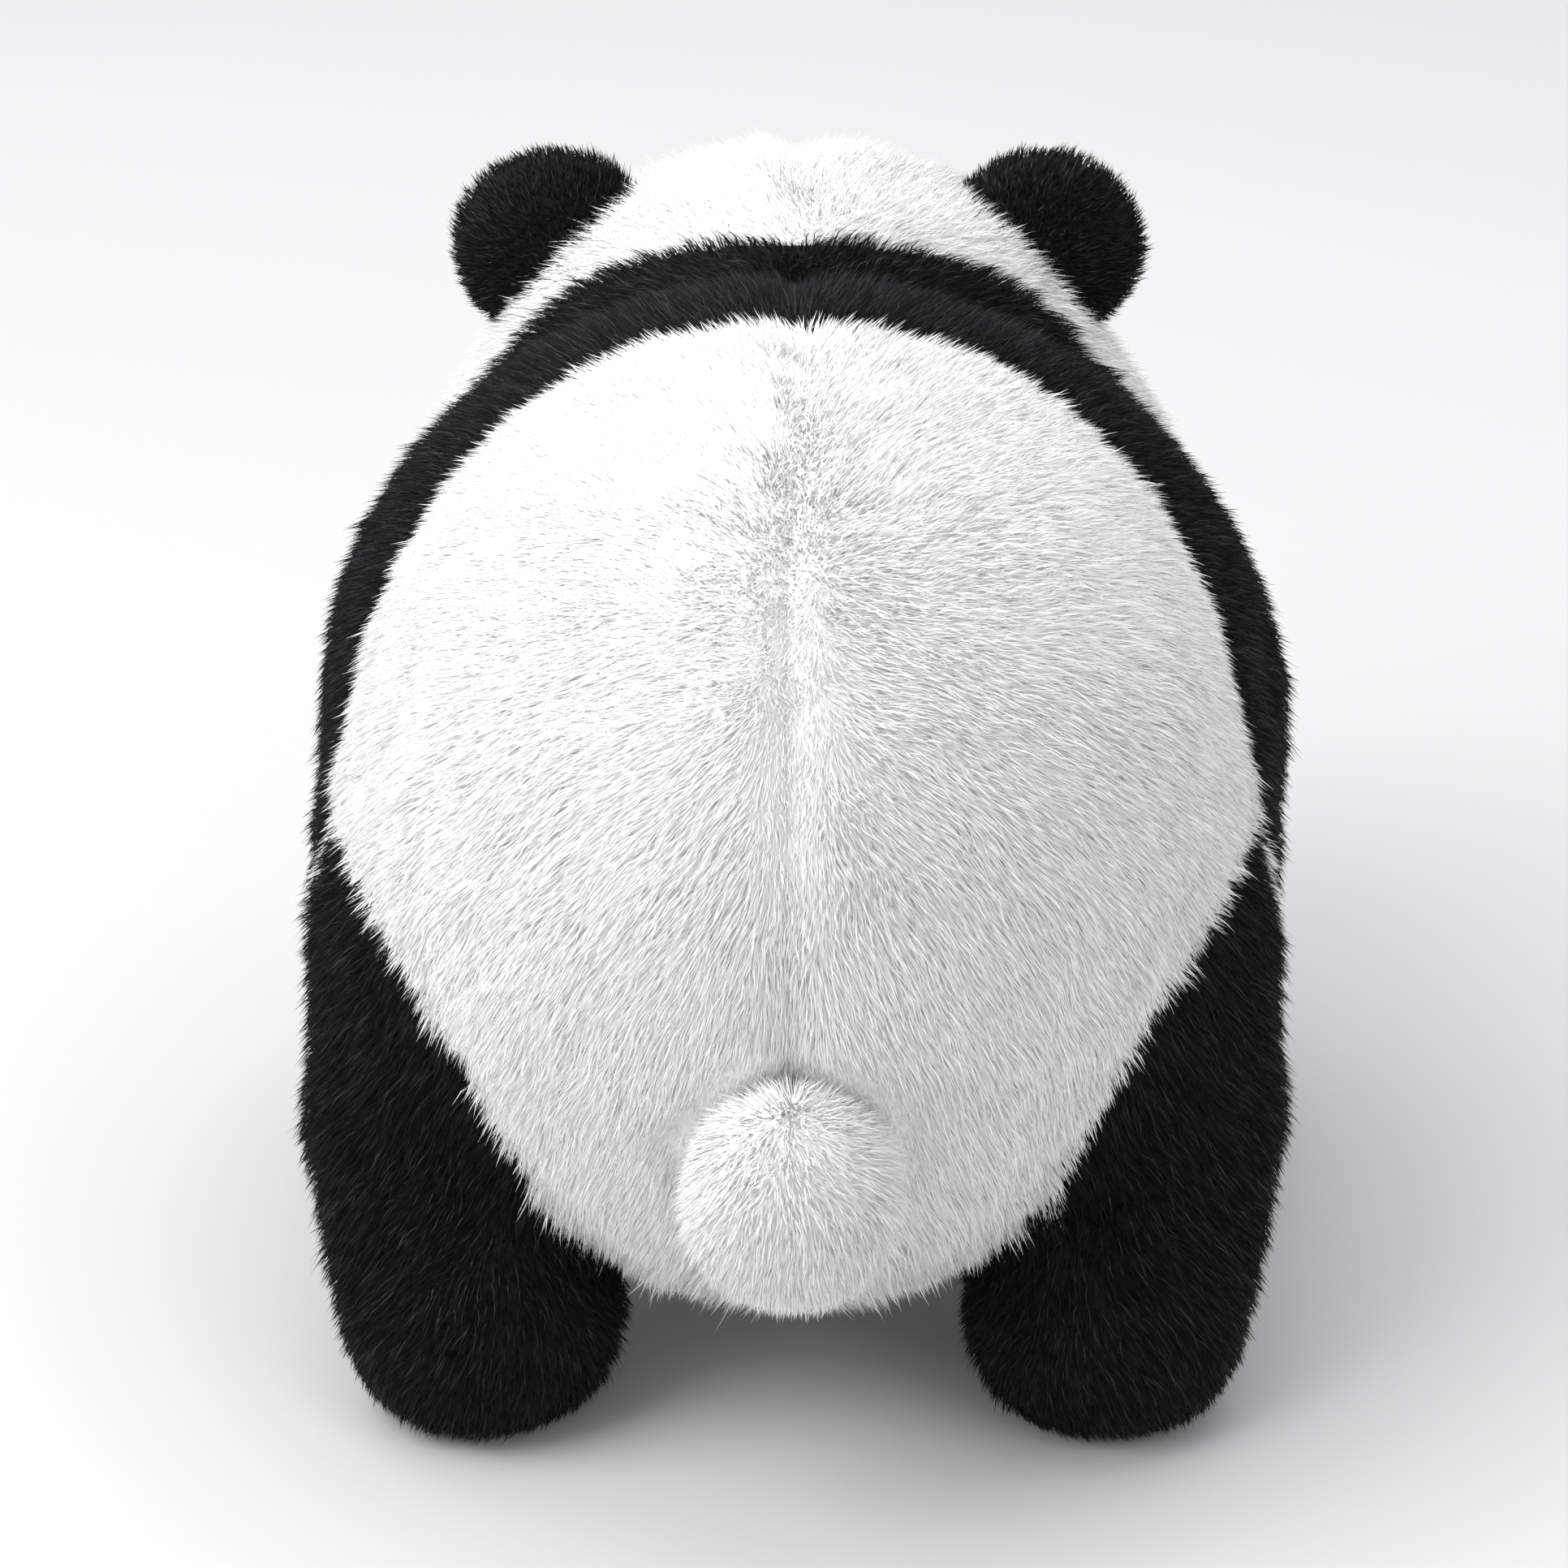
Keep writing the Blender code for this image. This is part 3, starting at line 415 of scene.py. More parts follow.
normals = vertex_normals(verts, quads)
seam = seam_distance(verts)
centre_back = (np.abs(verts[:, 0]) < 0.02) & (verts[:, 1] > 0.10) & (verts[:, 2] < 0.17)
depth = 0.0011 * np.exp(-(seam / 0.0030) ** 2) + 0.0012 * np.exp(-(seam / 0.0100) ** 2)
depth += np.where(centre_back, 0.0022 * np.exp(-(verts[:, 0] / 0.006) ** 2) *
                  np.clip((0.17 - verts[:, 2]) / 0.04, 0, 1), 0.0)
verts = verts - normals * depth[:, None]
push = stuffed(verts)
keep = np.clip((verts[:, 2] - 0.0030) / 0.010, 0.0, 1.0)
verts = verts + push * keep[:, None]
normals = vertex_normals(verts, quads)


# ------------------------------------------------------------------- node materials
def principled(name, colour, roughness, sheen=0.0, sheen_rough=0.5, sheen_tint=(1, 1, 1), specular=0.5, subsurface=0.0):
    mat = bpy.data.materials.new(name)
    mat.use_nodes = True
    s = mat.node_tree.nodes['Principled BSDF']
    s.inputs['Base Color'].default_value = (*colour, 1.0)
    s.inputs['Roughness'].default_value = roughness
    s.inputs['Specular IOR Level'].default_value = specular
    s.inputs['Sheen Weight'].default_value = sheen
    s.inputs['Sheen Roughness'].default_value = sheen_rough
    s.inputs['Sheen Tint'].default_value = (*sheen_tint, 1.0)
    if subsurface:
        s.inputs['Subsurface Weight'].default_value = subsurface
        s.inputs['Subsurface Radius'].default_value = (0.006, 0.006, 0.005)
    mat.diffuse_color = (*colour, 1.0)
    return mat, s


def knit_plush(name, dark, light, roughness, sheen, tint):
    """Backing fabric with the roots of the pile: mottled colour, combed streaks and fine bump."""
    mat, s = principled(name, light, roughness, sheen, 0.5, tint, 0.25)
    t = mat.node_tree
    n = t.nodes
    co = n.new('ShaderNodeTexCoord')
    stretch = n.new('ShaderNodeMapping')
    stretch.inputs['Scale'].default_value = (900, 900, 260)
    t.links.new(co.outputs['Object'], stretch.inputs['Vector'])
    streak = n.new('ShaderNodeTexNoise')
    streak.inputs['Scale'].default_value = 1.0
    streak.inputs['Detail'].default_value = 3.0
    t.links.new(stretch.outputs['Vector'], streak.inputs['Vector'])
    patchy = n.new('ShaderNodeTexNoise')
    patchy.inputs['Scale'].default_value = 60.0
    patchy.inputs['Detail'].default_value = 4.0
    t.links.new(co.outputs['Object'], patchy.inputs['Vector'])
    blend = n.new('ShaderNodeMath')
    blend.operation = 'MULTIPLY_ADD'
    blend.inputs[1].default_value = 0.6
    t.links.new(streak.outputs['Fac'], blend.inputs[0])
    half = n.new('ShaderNodeMath')
    half.operation = 'MULTIPLY'
    half.inputs[1].default_value = 0.45
    t.links.new(patchy.outputs['Fac'], half.inputs[0])
    t.links.new(half.outputs[0], blend.inputs[2])
    ramp = n.new('ShaderNodeValToRGB')
    ramp.color_ramp.elements[0].position, ramp.color_ramp.elements[0].color = 0.30, (*dark, 1)
    ramp.color_ramp.elements[1].position, ramp.color_ramp.elements[1].color = 0.66, (*light, 1)
    t.links.new(blend.outputs[0], ramp.inputs['Fac'])
    t.links.new(ramp.outputs['Color'], s.inputs['Base Color'])
    rough = n.new('ShaderNodeMapRange')
    rough.inputs['To Min'].default_value, rough.inputs['To Max'].default_value = roughness - 0.08, min(1.0, roughness + 0.06)
    t.links.new(patchy.outputs['Fac'], rough.inputs['Value'])
    t.links.new(rough.outputs['Result'], s.inputs['Roughness'])
    bump = n.new('ShaderNodeBump')
    bump.inputs['Strength'].default_value = 0.55
    bump.inputs['Distance'].default_value = 0.0006
    t.links.new(blend.outputs[0], bump.inputs['Height'])
    t.links.new(bump.outputs['Normal'], s.inputs['Normal'])
    return mat


def moulded(name, colour, roughness, speck):
    """Moulded plastic: faint orange peel and tiny differences in gloss."""
    mat, s = principled(name, colour, roughness, 0.0, 0.5, (1, 1, 1), 0.22)
    t = mat.node_tree
    n = t.nodes
    co = n.new('ShaderNodeTexCoord')
    noise = n.new('ShaderNodeTexNoise')
    noise.inputs['Scale'].default_value = 420.0
    noise.inputs['Detail'].default_value = 2.0
    t.links.new(co.outputs['Object'], noise.inputs['Vector'])
    ramp = n.new('ShaderNodeValToRGB')
    ramp.color_ramp.elements[0].color = (*[c * (1 - speck) for c in colour], 1)
    ramp.color_ramp.elements[1].color = (*[min(1, c * (1 + speck)) for c in colour], 1)
    t.links.new(noise.outputs['Fac'], ramp.inputs['Fac'])
    t.links.new(ramp.outputs['Color'], s.inputs['Base Color'])
    rough = n.new('ShaderNodeMapRange')
    rough.inputs['To Min'].default_value, rough.inputs['To Max'].default_value = roughness, roughness + 0.06
    t.links.new(noise.outputs['Fac'], rough.inputs['Value'])
    t.links.new(rough.outputs['Result'], s.inputs['Roughness'])
    bump = n.new('ShaderNodeBump')
    bump.inputs['Strength'].default_value = 0.05
    bump.inputs['Distance'].default_value = 0.0002
    t.links.new(noise.outputs['Fac'], bump.inputs['Height'])
    t.links.new(bump.outputs['Normal'], s.inputs['Normal'])
    return mat


white_backing = knit_plush('white_plush_backing', (0.86, 0.85, 0.82), (0.96, 0.955, 0.935), 0.92, 0.25, (1, 1, 1))
black_backing = knit_plush('black_plush_backing', (0.0030, 0.0030, 0.0038), (0.010, 0.010, 0.012), 0.88, 0.06, (0.7, 0.75, 0.9))
gloss_black = moulded('black_gloss_plastic', (0.006, 0.0055, 0.0055), 0.05, 0.2)
natural = moulded('natural_plastic', (0.78, 0.78, 0.76), 0.40, 0.04)
thread_black = knit_plush('embroidery_thread_black', (0.006, 0.006, 0.006), (0.03, 0.028, 0.03), 0.55, 0.2, (1, 1, 1))

WHITE_SHADES = [principled('white_pile_%d' % i, c, 0.85, 0.35, 0.5, (1, 1, 1), 0.30)[0] for i, c in enumerate(
    [(0.982, 0.980, 0.966), (0.968, 0.964, 0.944), (0.990, 0.988, 0.980), (0.950, 0.944, 0.915)])]
BLACK_SHADES = [principled('black_pile_%d' % i, c, r, sh, 0.35, (0.80, 0.85, 1.0), sp)[0] for i, (c, r, sh, sp) in enumerate(
    [((0.0034, 0.0034, 0.0042), 0.55, 0.008, 0.16), ((0.0022, 0.0022, 0.0028), 0.65, 0.004, 0.10),
     ((0.0060, 0.0060, 0.0072), 0.45, 0.016, 0.26), ((0.0120, 0.0120, 0.0138), 0.40, 0.025, 0.40)])]

pieces = {}


def link(obj):
    bpy.context.scene.collection.objects.link(obj)
    return obj


def fast_mesh(name, v, faces, loops_per_face, smooth=True):
    """A mesh from arrays: faces is (n, loops_per_face) or a list of such arrays."""
    mesh = bpy.data.meshes.new(name)
    groups = faces if isinstance(faces, list) else [faces]
    sizes = loops_per_face if isinstance(loops_per_face, list) else [loops_per_face]
    loops = np.concatenate([g.reshape(-1) for g in groups]).astype(np.int32)
    counts = np.concatenate([np.full(len(g), k) for g, k in zip(groups, sizes)]).astype(np.int32)
    starts = np.concatenate([[0], np.cumsum(counts)[:-1]]).astype(np.int32)
    mesh.vertices.add(len(v))
    mesh.vertices.foreach_set('co', np.ascontiguousarray(v, np.float32).reshape(-1))
    mesh.loops.add(len(loops))
    mesh.loops.foreach_set('vertex_index', loops)
    mesh.polygons.add(len(counts))
    mesh.polygons.foreach_set('loop_start', starts)
    mesh.polygons.foreach_set('use_smooth', np.full(len(counts), smooth))
    mesh.update(calc_edges=True)
    return mesh


def shell(name, v, q, n, thick, mat):
    """Fabric: the outer surface, the same surface under it, and a rim round each border."""
    used, local = np.unique(q, return_inverse=True)
    local = local.reshape(q.shape)
    top = v[used]
    under = top - n[used] * thick
    k = len(used)
    edges = {}
    for a, b in ((0, 1), (1, 2), (2, 3), (3, 0)):
        for x, y in zip(local[:, a].tolist(), local[:, b].tolist()):
            if (y, x) in edges:
                del edges[(y, x)]
            else:
                edges[(x, y)] = 1
    rim = np.array([(y, x, x + k, y + k) for x, y in edges], int).reshape(-1, 4)
    faces = np.concatenate([local, local[:, ::-1] + k, rim])
    mesh = fast_mesh(name, np.concatenate([top, under]), faces, 4)
    mesh.materials.append(mat)
    obj = link(bpy.data.objects.new(name, mesh))
    mesh.validate()
    return obj


def attach(obj, panel):
    word = panel.split('_')[0]
    side = 'right' if '_right' in panel else 'left'
    if word in ('hind', 'fore'):
        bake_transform(obj)
    elif word in ('band', 'chest'):
        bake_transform(obj)
    elif word in ('head',):
        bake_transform(obj)
    elif word in ('muzzle', 'chin', 'patch'):
        if word == 'chin':
            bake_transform(obj)
        else:
            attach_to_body(obj, 'head')
    elif word == 'ear':
        a = np.array(ear_frame(1 if side == 'left' else -1)[0])
        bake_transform(obj)
    elif word == 'tail':
        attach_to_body(obj, 'tail')
    else:
        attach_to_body(obj, 'root')
    return obj


def ear_frame(sign):
    t = math.radians(EAR_TILT)
    c = (EAR_C[0] * sign, EAR_C[1], EAR_C[2])
    return np.array(c), np.array([math.sin(t) * sign, 0.0, math.cos(t)]), np.array([math.cos(t) * sign, 0.0, -math.sin(t)])


REPLACED = {
    'rump_left': ['rump_panel_left', 'body_stuffing'], 'rump_right': ['rump_panel_right'], 'belly': ['belly_panel'],
    'band_left': ['shoulder_panel_left', 'neck_stuffing'], 'band_right': ['shoulder_panel_right'],
    'chest': ['chest_panel'], 'head_left': ['head_panel_left', 'head_stuffing'], 'head_right': ['head_panel_right'],
    'muzzle': ['muzzle_panel'], 'chin': ['chin_panel'], 'patch_left': ['eye_patch_left'], 'patch_right': ['eye_patch_right'],
}
for s in ('left', 'right'):
    for word, leg in (('hind', 'hind_leg_'), ('fore', 'front_leg_')):
        REPLACED['%s_%s_outer' % (word, s)] = [leg + s + '_outer_panel', leg + s + '_stuffing']
        REPLACED['%s_%s_inner' % (word, s)] = [leg + s + '_inner_panel']
        REPLACED['%s_%s_sole' % (word, s)] = [leg + s + '_sole']

face_panel = panel_of(verts[quads].mean(axis=1) + normals[quads].mean(axis=1) * 0.0)
for name in CLASSES:
    mine = face_panel == NUMBER[name]
    if not mine.any():
        raise RuntimeError('no fabric in panel ' + name)
    mat = black_backing if name in BLACK_CLASSES else white_backing
    obj = shell('plush_' + name, verts, quads[mine], normals, CLOTH, mat)
    attach(obj, name)
    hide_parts(*REPLACED[name])
    pieces[name] = obj


# ---------------------------------------------------------------------- tail and ears
def ball(steps_u, steps_v):
    """A sphere of quads from a cube, with even faces."""
    bm = bmesh.new()
    bmesh.ops.create_cube(bm, size=2.0)
    bmesh.ops.subdivide_edges(bm, edges=bm.edges[:], cuts=steps_u, use_grid_fill=True)
    v = unit(np.array([x.co[:] for x in bm.verts]))
    q = np.array([[y.index for y in f.verts] for f in bm.faces])
    bm.free()
    return v, q


ball_v, ball_q = ball(21, 0)
tail_v = ball_v * (np.array(TAIL_R) - BACKING) + np.array(TAIL_C)
tail_n = unit(ball_v / np.array(TAIL_R))
groove = np.exp(-(tail_v[:, 0] / 0.0030) ** 2) * 0.0003
tail_v = tail_v - tail_n * groove[:, None]
for s, keep in (('left', 1), ('right', -1)):
    mine = tail_v[ball_q].mean(axis=1)[:, 0] * keep > 0
    obj = shell('plush_tail_' + s, tail_v, ball_q[mine], tail_n, CLOTH, white_backing)
    attach(obj, 'tail_' + s)
    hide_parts(*(['tail_cover_left', 'tail_stuffing'] if s == 'left' else ['tail_cover_right']))

ear_skins = {}
for s, sign in (('left', 1), ('right', -1)):
    c, up, out = ear_frame(sign)
    back = np.array([0.0, 1.0, 0.0])
    r = np.array(EAR_R) - np.array([0.0042, 0.0036, 0.0042])
    local = ball_v.copy()
    flat = np.sign(local[:, 1]) * np.abs(local[:, 1]) ** 0.85
    cup = 0.0030 * (1 - local[:, 0] ** 2 - local[:, 2] ** 2)
    ear_v = c + out * (local[:, 0:1] * r[0]) + up * (local[:, 2:3] * r[2]) + back * ((flat * r[1] + cup)[:, None])
    scaled = local / np.array([r[0], r[1], r[2]])
    ear_n = unit(out * scaled[:, 0:1] + up * scaled[:, 2:3] + back * scaled[:, 1:2])
    q = ball_q if sign > 0 else ball_q[:, ::-1]
    mids = local[ball_q].mean(axis=1)
    for part, mine in (('front', mids[:, 1] < 0), ('back', mids[:, 1] >= 0)):
        obj = shell('plush_ear_%s_%s' % (s, part), ear_v, q[mine], ear_n, CLOTH, black_backing)
        attach(obj, 'ear_' + s)
        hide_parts('ear_%s_%s' % (s, part))
    ear_skins[s] = (ear_v, q, ear_n)


# ------------------------------------------------------------------------------ pile
def noise3(p, scale, seed):
    """Smooth three-way noise from a few fixed waves."""
    r = np.random.default_rng(seed)
    out = np.zeros(p.shape)
    for k in range(7):
        d = unit(r.normal(size=3))
        f = (0.6 + 0.9 * r.random()) * 2 * math.pi / scale
        phase = r.random(3) * 2 * math.pi
        a = (p @ d) * f
        for i in range(3):
            out[:, i] += np.sin(a + phase[i] + 1.7 * np.sin((p @ unit(r.normal(size=3))) * f * 0.7))
    return out / 3.0


def scatter(v, q, n, keep, density, seed):
    """Roots spread evenly over the chosen quads: positions, normals."""
    r = np.random.default_rng(seed)
    q = q[keep]
    tris = np.concatenate([q[:, [0, 1, 2]], q[:, [0, 2, 3]]])
    a, b, c = v[tris[:, 0]], v[tris[:, 1]], v[tris[:, 2]]
    area = 0.5 * np.linalg.norm(np.cross(b - a, c - a), axis=1)
    want = area * density * 1e6
    count = np.floor(want + r.random(len(want))).astype(int)
    t = np.repeat(np.arange(len(tris)), count)
    u, w = r.random(len(t)), r.random(len(t))
    flip = u + w > 1
    u[flip], w[flip] = 1 - u[flip], 1 - w[flip]
    k = 1 - u - w
    pos = a[t] * k[:, None] + b[t] * u[:, None] + c[t] * w[:, None]
    nn = unit(n[tris[t, 0]] * k[:, None] + n[tris[t, 1]] * u[:, None] + n[tris[t, 2]] * w[:, None])
    return pos, nn


def strands(name, pos, nrm, nap, lean, length, width, bend, seed, shades, weights, two=True, rough=0.13, clump=0.0034, soft=1.0):
    """Tapered hairs as solid three-sided spikes, rooted inside the fabric; soft turns their shading to the surface's."""
    r = np.random.default_rng(seed)
    count = len(pos)
    swirl = noise3(pos, 0.034, 101) * 0.15 + noise3(pos, 0.010, 202) * 0.10
    tangent = nap - nrm * (nap * nrm).sum(-1, keepdims=True)
    tangent = unit(tangent + 1e-6)
    lean = lean * (1 + 0.16 * noise3(pos, 0.016, 505)[:, 0])
    d0 = unit(nrm * np.cos(lean)[:, None] + tangent * np.sin(lean)[:, None] + swirl + r.normal(size=(count, 3)) * rough)
    low = (d0 * nrm).sum(-1)
    d0 = unit(d0 + nrm * np.maximum(0.30 - low, 0.0)[:, None])
    d1 = unit(d0 + tangent * bend[:, None] + r.normal(size=(count, 3)) * rough * 0.8)
    low = (d1 * nrm).sum(-1)
    d1 = unit(d1 + nrm * np.maximum(0.05 - low, 0.0)[:, None])
    length = length * (1 + 0.15 * r.normal(size=count)).clip(0.6, 1.35) * (1 + 0.10 * noise3(pos, 0.022, 303)[:, 0])
    base = pos - nrm * 0.0006
    mid = base + d0 * (length * 0.55)[:, None]
    tip = mid + d1 * (length * 0.50)[:, None]
    # tips gather in small locks
    jitter = pos + noise3(pos, 0.012, 404) * 0.0016
    cell = np.floor(jitter / clump).astype(np.int64)
    key = (cell[:, 0] + 4000) * 100000000 + (cell[:, 1] + 4000) * 10000 + (cell[:, 2] + 4000)
    _, lock = np.unique(key, return_inverse=True)
    lock = lock.reshape(-1)
    share = np.bincount(lock)
    centre = np.stack([np.bincount(lock, tip[:, i]) / share for i in range(3)], axis=-1)[lock]
    pull = 0.30 * r.random(count) ** 0.6
    tip = tip + (centre - tip) * pull[:, None]
    for point in (mid, tip):
        point[:, 2] = np.maximum(point[:, 2], 0.0006 + 0.0012 * r.random(count))
    side = unit(np.cross(d0, r.normal(size=(count, 3))))
    other = np.cross(d0, side)
    ring = [side * math.cos(a) + other * math.sin(a) for a in (0.0, 2.0944, 4.18879)]
    w = (width * (0.75 + 0.5 * r.random(count)))[:, None]
    shade = r.choice(len(shades), size=count, p=weights)
    own = 1.0 - 0.84 * soft
    around = [unit(nrm * soft + x * own) for x in ring]
    if two:
        points = np.stack([base + x * w * 0.5 for x in ring] + [mid + x * w * 0.36 for x in ring] + [tip], axis=1)
        facing_out = np.stack(around + around + [unit(nrm * soft + d1 * own)], axis=1)
        pattern = np.array([[0, 1, 4], [0, 4, 3], [1, 2, 5], [1, 5, 4], [2, 0, 3], [2, 3, 5],
                            [3, 4, 6], [4, 5, 6], [5, 3, 6]])
        per = 7
    else:
        points = np.stack([base + x * w * 0.5 for x in ring] + [tip], axis=1)
        facing_out = np.stack(around + [unit(nrm * soft + d1 * own)], axis=1)
        pattern = np.array([[0, 1, 3], [1, 2, 3], [2, 0, 3]])
        per = 4
    faces = (np.arange(count) * per)[:, None, None] + pattern
    mesh = fast_mesh(name, points.reshape(-1, 3), faces.reshape(-1, 3), 3)
    for m in shades:
        mesh.materials.append(m)
    mesh.polygons.foreach_set('material_index', np.repeat(shade, len(pattern)).astype(np.int32))
    mesh.normals_split_custom_set_from_vertices(facing_out.reshape(-1, 3).astype(np.float32))
    return link(bpy.data.objects.new(name, mesh))


EYES = [np.array([EYE_X * s, -0.190, EYE_Z]) for s in (1, -1)]


def pile(panel, v, q, n, keep, long_rate, short_rate, seed):
    """Both layers of hair on one panel."""
    word = panel.split('_')[0]
    black = panel in BLACK_CLASSES or word == 'ear'
    side = -1.0 if 'right' in panel else 1.0
    for layer, rate in (('guard', long_rate), ('under', short_rate)):
        pos, nrm = scatter(v, q, n, keep, rate, seed + (17 if layer == 'under' else 0))
        count = len(pos)
        long = layer == 'guard'
        length = np.full(count, 0.0080 if long else 0.0066)
        lean = np.full(count, 0.66 if long else 0.58)
        bend = np.full(count, 0.50)
        down = np.array([0.0, 0.0, -1.0])
        nap = np.tile(down, (count, 1))
        if word in ('rump', 'belly'):
            side_way = np.clip((pos[:, 0:1] + 0.003 * noise3(pos, 0.02, 606)[:, 0:1]) / 0.014, -1, 1) * np.array([1.0, 0, 0])
            low_down = np.clip((0.16 - pos[:, 2]) / 0.07, 0, 1)
            top = np.clip((pos[:, 2:3] - 0.150) / 0.080, 0, 1)
            nap = unit(side_way * (0.38 + 0.42 * top) + down * 1.0 + np.array([0.10, 0, 0]) * np.sign(pos[:, 0:1]) *
                       np.exp(-(pos[:, 0:1] / 0.014) ** 2) * low_down[:, None])
            lean = 0.34 + lean * 0.80 * (1 - np.clip(nrm[:, 2], 0, 1)) ** 0.8
            # the pile parts a little along the middle seam, just above the tail
            lean = lean + 0.30 * np.exp(-(pos[:, 0] / 0.0050) ** 2) * low_down
            length = length * (1 - 0.22 * np.exp(-(pos[:, 0] / 0.0035) ** 2) * low_down)
            length = length * (1 + 0.34 * np.clip((0.085 - pos[:, 2]) / 0.030, 0, 1))
            length = length * (1 - 0.50 * np.exp(-(pos[:, 0] / 0.0075) ** 2) * np.clip((pos[:, 2] - 0.165) / 0.03, 0, 1) *
                               np.clip((pos[:, 1] - 0.03) / 0.03, 0, 1))
        elif word in ('band', 'chest'):
            nap = unit(down * 0.6 + np.array([0.8, 0, 0]) * np.clip(pos[:, 0:1] / 0.012, -1, 1))
            lean = 0.22 + lean * 0.95 * (1 - np.clip(nrm[:, 2], 0, 1))
            length = length * (1 - 0.16 * np.exp(-(pos[:, 0] / 0.0030) ** 2))
        elif word in ('hind', 'fore'):
            nap = unit(down + np.array([0.45 * side, 0.25, 0.0]))
            lean = lean * 1.0
            length = length * np.clip(0.50 + 12.0 * pos[:, 2], 0.50, 1.0)
            if panel.endswith('sole'):
                length, lean = np.full(count, 0.0026), np.full(count, 1.1)
        elif word in ('head', 'muzzle', 'chin', 'patch'):
            front = np.clip((-0.135 - pos[:, 1]) / 0.05, 0, 1)
            nap = unit(np.array([1.0, 0, 0]) * np.clip((pos[:, 0:1] + 0.003 * noise3(pos, 0.02, 707)[:, 0:1]) / 0.012, -1, 1) * 0.9 + down * 0.5 +
                       (pos - np.array([0, -0.2, 0.175])) * np.array([12.0, 0, 12.0]) * front[:, None])
            lean = np.where(front > 0.02, lean * 0.9, 0.20 + lean * 0.8 * (1 - np.clip(nrm[:, 2], 0, 1)))
            length = length * (1 - 0.28 * front) * (1 - 0.40 * np.exp(-(pos[:, 0] / 0.006) ** 2) * (1 - front) *
                                                  np.clip((pos[:, 1] + 0.150) / 0.03, 0, 1))
            if word in ('muzzle', 'chin'):
                length = length * 0.80
                lean = lean * 1.05
            if word == 'patch':
                length = length * 0.80
                lean = lean * 1.2
        elif word == 'tail':
            nap = unit(down * 1.0 + unit(pos - np.array(TAIL_C)) * 0.2)
            length = length * 0.84
            lean = lean * (0.75 + 0.25 * np.clip((TAIL_C[2] - pos[:, 2]) / 0.03, -0.5, 1))
        elif word == 'ear':
            c, up, out = ear_frame(side)
            nap = unit((pos - (c - up * 0.02)))
            length = length * 0.66
            lean = lean * 0.9
        nap = np.broadcast_to(nap, pos.shape).copy()
        if word == 'rump':
            # the pile is flattened round the tail's root and none grows under the tail itself
            near = ellipsoid(pos, TAIL_C, TAIL_R)
            ok = near > -0.004
            length = length * np.clip((near + 0.001) / 0.012, 0.42, 1)
            pos, nrm, nap, lean, length, bend = (x[ok] for x in (pos, nrm, nap, lean, length, bend))
        if word in ('head', 'patch'):
            near = np.min([np.linalg.norm(pos - e, axis=1) for e in EYES], axis=0)
            ok = near > EYE_R + 0.0005
            length = length * np.clip((near - 0.006) / 0.012, 0.35, 1)
            pos, nrm, nap, lean, length, bend = (x[ok] for x in (pos, nrm, nap, lean, length, bend))
        if word in ('muzzle', 'head'):
            dx, dz = pos[:, 0] / (NOSE_R[0] + 0.001), (pos[:, 2] - NOSE_Z) / (NOSE_R[1] + 0.001)
            off = (dx * dx + dz * dz > 1.0) | (pos[:, 1] > -0.17)
            pos, nrm, nap, lean, length, bend = (x[off] for x in (pos, nrm, nap, lean, length, bend))
        width = np.full(len(pos), 0.00052 if long else 0.00048)
        if black:
            shades, weights = BLACK_SHADES, ([0.42, 0.22, 0.24, 0.12] if long else [0.45, 0.45, 0.08, 0.02])
        else:
            shades, weights = WHITE_SHADES, [0.40, 0.30, 0.20, 0.10]
        parts = max(1, math.ceil(len(pos) * (9 if long else 3) / 190000))
        order = np.arange(len(pos)) % parts
        for k in range(parts):
            m = order == k
            if not m.any():
                continue
            name = 'pile_%s_%s%s' % (panel, layer, '_%d' % (k + 1) if parts > 1 else '')
            obj = strands(name, pos[m], nrm[m], nap[m], lean[m], length[m], width[m], bend[m],
                          seed * 31 + k + (500 if long else 0), shades, weights, two=long, soft=0.45 if black else 0.85 if word in ('head', 'muzzle', 'chin') else 1.0,
                          rough=0.20 if word in ('head', 'muzzle', 'chin') else 0.14)
            attach(obj, panel)
            yield obj


SCALE = 1.0
total = 0
for i, name in enumerate(CLASSES):
    word = name.split('_')[0]
    long_rate, short_rate = {'rump': (0.34, 1.55), 'belly': (0.15, 0.60), 'band': (0.30, 0.85), 'chest': (0.15, 0.60),
                             'head': (0.30, 1.35), 'muzzle': (0.40, 1.20), 'chin': (0.30, 0.80), 'patch': (0.4, 1.2),
                             'hind': (0.32, 0.85), 'fore': (0.24, 0.65)}[word]
    if name.endswith('sole'):
        long_rate, short_rate = 0.02, 0.30
    if name.endswith('inner'):
        long_rate, short_rate = long_rate * 0.8, short_rate * 0.8
    for obj in pile(name, verts, quads, normals, face_panel == NUMBER[name], long_rate * SCALE, short_rate * SCALE, 1000 + i * 7):
        total += len(obj.data.polygons)
for s, keep in (('left', 1), ('right', -1)):
    mine = tail_v[ball_q].mean(axis=1)[:, 0] * keep > 0
    for obj in pile('tail_' + s, tail_v, ball_q, tail_n, mine, 0.45 * SCALE, 1.30 * SCALE, 3000 + keep):
        total += len(obj.data.polygons)
    ev, eq, en = ear_skins[s]
    for obj in pile('ear_' + s, ev, eq, en, np.ones(len(eq), bool), 0.50 * SCALE, 1.10 * SCALE, 4000 + keep):
        total += len(obj.data.polygons)
print('pile faces', total)


